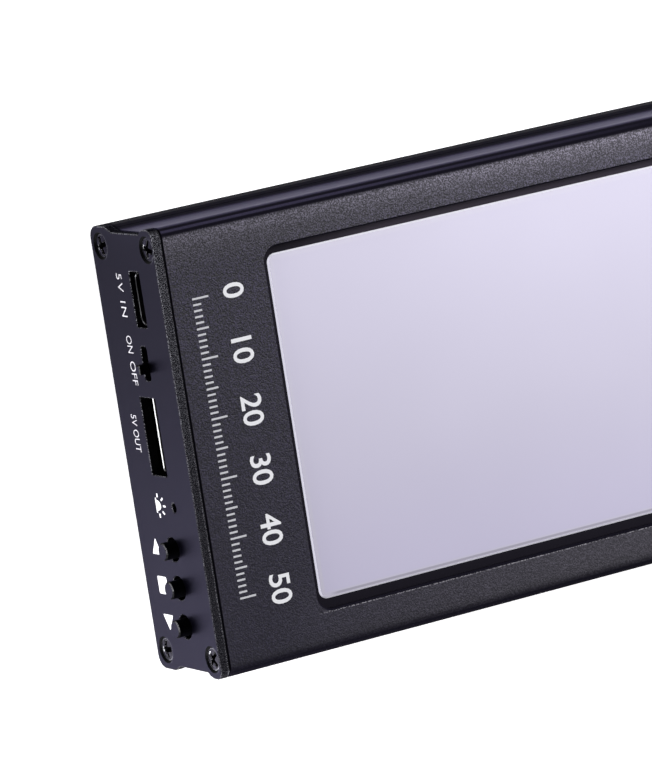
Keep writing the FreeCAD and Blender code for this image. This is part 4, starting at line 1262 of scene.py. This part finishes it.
@dataclass
class Contacts:
    """Gold contact strips on the tongues of the two USB sockets."""

    maker: Maker
    usb_c_pitch: float = 0.5
    usb_c_count: int = 12
    usb_c_wide: float = 0.26
    usb_c_reach: Span = (0.35, 4.4)
    usb_c_faces: Span = (0.33, 0.38)
    usb_a_row: tuple[float, ...] = (-3.5, -1.0, 1.0, 3.5)
    usb_a_wide: float = 1.0
    usb_a_reach: Span = (0.7, 8.0)
    usb_a_faces: Span = (11.37, 11.44)

    def strips(self, name: str, places: Iterable[float], wide: float, x: Point, z: Point) -> None:
        """Make a row of strips.

        Args:
            name: the piece's name.
            places: the strips' centres along Y, in mm.
            wide: a strip's width.
            x: its two ends.
            z: its two faces.
        """
        shape = bmesh.new()
        for y in places:
            box = bmesh.ops.create_cube(shape, size=1.0)["verts"]
            scale = Matrix.Diagonal(((x[1] - x[0]) * MM, wide * MM, (z[1] - z[0]) * MM, 1))
            centre = Matrix.Translation(((x[0] + x[1]) / 2 * MM, y * MM, (z[0] + z[1]) / 2 * MM))
            bmesh.ops.transform(shape, matrix=centre @ scale, verts=box)
        self.maker.piece(name, shape, self.maker.material("contact_gold", GOLD))

    def build(self) -> None:
        """Contacts of both sockets."""
        low, high = (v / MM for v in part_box("usb_c_core"))
        middle = (low + high) / 2
        row = [middle.y + self.usb_c_pitch * (i - (self.usb_c_count - 1) / 2)
               for i in range(self.usb_c_count)]
        reach = tuple(low.x + x for x in self.usb_c_reach)
        for name, side in (("upper", 1), ("lower", -1)):
            faces = sorted(middle.z + side * face for face in self.usb_c_faces)
            self.strips(f"usb_c_{name}_contacts", row, self.usb_c_wide, reach, tuple(faces))
        low, high = (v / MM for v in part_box("usb_a_core"))
        row = [(low.y + high.y) / 2 + offset for offset in self.usb_a_row]
        reach = tuple(low.x + x for x in self.usb_a_reach)
        self.strips("usb_a_contacts", row, self.usb_a_wide, reach, self.usb_a_faces)


@dataclass
class ThreadedJack:
    """An RF jack's metal body with its real thread, in place of the plain solid."""

    maker: Maker
    node: str
    crest: float = 3.175
    root: float = 2.80
    pitch: float = 0.7055
    bore: float = 2.05
    mouth: float = 2.3
    mouth_deep: float = 2.0
    block_long: float = 6.0
    edge: float = 0.3
    start_gap: float = 0.02
    fades: Span = (0.5, 0.3)
    flank: Span = (1.35, 0.17)
    crease: float = 35.0
    around: int = 48
    rows: int = 8

    def build(self) -> None:
        """Ring by ring from the back of the bore, out and over to the mouth, and back."""
        low, high = (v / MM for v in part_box(self.node))
        self.centre = Vector((0, (low.y + high.y) / 2, (low.z + high.z) / 2))
        half = ((high.y - low.y) / 2, (high.z - low.z) / 2)
        front, tip = low.x + self.block_long, high.x
        rings = [self.circle(low.x, self.bore), self.square(low.x, half), self.square(front, half)]
        start, end = front + self.start_gap, tip - self.edge
        count = int((end - start) / self.pitch * self.rows)
        for i in range(count + 1):
            rings.append(self.thread(start + (end - start) * i / count, start, end))
        inner = tip - self.mouth_deep
        rings += [self.circle(x, radius) for x, radius in
                  ((tip, self.root), (tip, self.mouth), (inner, self.mouth), (inner, self.bore))]
        shape = bmesh.new()
        made = [[shape.verts.new(point * MM) for point in ring] for ring in rings]
        for i, ring in enumerate(made):
            after = made[(i + 1) % len(made)]
            for j in range(self.around):
                k = (j + 1) % self.around
                shape.faces.new((ring[j], ring[k], after[k], after[j]))
        piece = self.maker.piece(f"{self.node}_threaded", shape,
                                 self.maker.material("brass_threaded", GOLD), self.crease)
        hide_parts(self.node)

    def ring(self, x: float, radius: Callable[[float], float]) -> list[Vector]:
        """Points round the axis.

        Args:
            x: the ring's place along the axis.
            radius: distance from the axis for an angle.

        Returns:
            The points.
        """
        points = []
        for i in range(self.around):
            angle = math.tau * (i + 0.5) / self.around
            reach = radius(angle)
            offset = Vector((x, reach * math.cos(angle), reach * math.sin(angle)))
            points.append(self.centre + offset)
        return points

    def circle(self, x: float, radius: float) -> list[Vector]:
        """Round ring."""
        return self.ring(x, lambda angle: radius)

    def square(self, x: float, half: Point) -> list[Vector]:
        """Ring along a rectangle, with its corners filled in.

        Args:
            x: the ring's place along the axis.
            half: the rectangle's half sides along Y and Z.

        Returns:
            The points.
        """
        points = self.ring(
            x, lambda angle: min(half[0] / abs(math.cos(angle)), half[1] / abs(math.sin(angle))))
        for i in range(4):
            spot = round(self.around * (2 * i + 1) / 8) % self.around
            angle = math.tau * (2 * i + 1) / 8
            y = math.copysign(half[0], math.cos(angle))
            z = math.copysign(half[1], math.sin(angle))
            points[spot] = self.centre + Vector((x, y, z))
        return points

    def thread(self, x: float, start: float, end: float) -> list[Vector]:
        """Ring of the thread, fading out at both ends.

        Args:
            x: the ring's place along the axis.
            start: where the thread starts.
            end: where it ends.

        Returns:
            The points.
        """
        fade = max(0.0, min(1.0, (x - start) / self.fades[0], (end - x) / self.fades[1]))

        def radius(angle: float) -> float:
            """Distance of the thread's surface from the axis.

            Args:
                angle: direction from the axis.

            Returns:
                The distance, in mm.
            """
            phase = (x / self.pitch - angle / math.tau) % 1.0
            flank = min(1.0, max(0.0, self.flank[0] * abs(2 * phase - 1) - self.flank[1]))
            return self.crest - (self.crest - self.root) * (1 - flank) * fade

        return self.ring(x, radius)


@dataclass
class Studio:
    """Pale floor, soft light and the camera."""

    eye: Place = (-0.49641, 0.15890, 0.87957)
    target: Place = (-0.03751, 0.00620, 0.022)
    upward: Place = (0.20923, 0.97591, -0.06181)
    lens: float = 280.49
    film_wide: float = 36.0
    clip: Span = (0.05, 50.0)
    floor_half: float = 3.0
    floor_gap: float = 0.0002
    floor_tone: Colour = (0.9, 0.9, 0.9)
    floor_glow: float = 0.8
    sky: float = 0.2
    horizon: float = 0.6
    horizon_high: float = 0.08
    lamps: tuple[Lamp, ...] = (
        ("main_softbox", (0.30, 0.16, 0.43), (0.0, 0.0, 0.02), (0.30, 0.30), 3.2),
        ("plate_softbox", (-0.17, -0.12, 0.022), (-0.065, -0.01, 0.008), (0.06, 0.02), 0.42),
        ("lip_softbox", (-0.203, -0.026, 0.079), (-0.0625, 0.0, 0.009), (0.05, 0.05), 0.03))

    def build(self) -> None:
        """Set the whole stage."""
        self.camera()
        self.floor()
        self.world()
        for lamp in self.lamps:
            self.softbox(*lamp)
        scene = bpy.context.scene
        scene.view_settings.view_transform = "Standard"
        scene.view_settings.look = "None"

    def camera(self) -> None:
        """Camera of the picture's view."""
        eye = Vector(self.eye)
        back = (eye - Vector(self.target)).normalized()
        right = Vector(self.upward).cross(back).normalized()
        turn = Matrix((right, back.cross(right), back)).transposed().to_4x4()
        data = bpy.data.cameras.new("view_camera")
        data.lens = self.lens
        data.sensor_fit = "AUTO"
        data.sensor_width = self.film_wide
        data.clip_start, data.clip_end = self.clip
        camera = placed("view_camera", data)
        camera.matrix_world = Matrix.Translation(eye) @ turn
        bpy.context.scene.camera = camera

    def floor(self) -> None:
        """White floor under the case."""
        shape = bmesh.new()
        bmesh.ops.create_grid(shape, x_segments=1, y_segments=1, size=self.floor_half)
        mesh = bpy.data.meshes.new("floor")
        shape.to_mesh(mesh)
        shape.free()
        paint = Paint("floor_white")
        white = paint.shader(Base_Color=self.floor_tone, Roughness=0.9,
                             Emission_Color=(1, 1, 1), Emission_Strength=self.floor_glow)
        mesh.materials.append(paint.finished(white))
        floor = placed("floor", mesh)
        floor.location.z = -self.floor_gap

    def world(self) -> None:
        """Surroundings that are pale at the floor's edge and dimmer above."""
        world = bpy.data.worlds.new("pale_room")
        tree = Tree(world)
        upward = tree.parts(tree.node("ShaderNodeTexCoord", {}, {}).outputs["Generated"])[2]
        strength = upward.rise(0.0, self.horizon_high).between(self.horizon, self.sky)
        inputs = {"Color": (1, 1, 1, 1), "Strength": strength}
        back = tree.node("ShaderNodeBackground", {}, inputs)
        tree.node("ShaderNodeOutputWorld", {}, {0: back.outputs[0]})
        bpy.context.scene.world = world

    @staticmethod
    def softbox(name: str, place: Place, aim: Place, size: Point, power: float) -> None:
        """Add a rectangular soft light.

        Args:
            name: its name.
            place: its centre.
            aim: the point it faces.
            size: its two sides.
            power: watts.
        """
        data = bpy.data.lights.new(name, "AREA")
        data.shape = "RECTANGLE"
        data.size, data.size_y = size
        data.energy = power
        lamp = placed(name, data)
        lamp.location = place
        lamp.rotation_euler = (Vector(aim) - Vector(place)).to_track_quat("-Z", "Y").to_euler()
        lamp.visible_camera = False


def dress_nodes(frame: dict[str, Any], maker: Maker) -> None:
    """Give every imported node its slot's finish.

    Args:
        frame: the loaded frame.
        maker: holds the materials.
    """
    for row in frame["record"]["subparts"]:
        slot = row["material_slot"]
        mesh = frame["nodes"][row["node"]].data
        mesh.materials.clear()
        own = OWN_FINISHES.get(row["node"])
        mesh.materials.append(maker.material(row["node"] if own else slot, own or FINISHES[slot]))
        LOG.info("%s: %s", row["node"], slot)


def main() -> None:
    """Load the frame, dress it and set the stage."""
    logging.basicConfig(level=logging.INFO, format="%(message)s")
    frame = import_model()
    maker = Maker()
    dress_nodes(frame, maker)
    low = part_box("port_end_plate")[0]
    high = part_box("rf_end_plate")[1]
    PrintedMarks(maker, low, high).build()
    Contacts(maker).build()
    for number in (1, 2):
        ThreadedJack(maker, f"rf_jack_{number}_body").build()
    Studio().build()


if __name__ == "__main__":
    main()
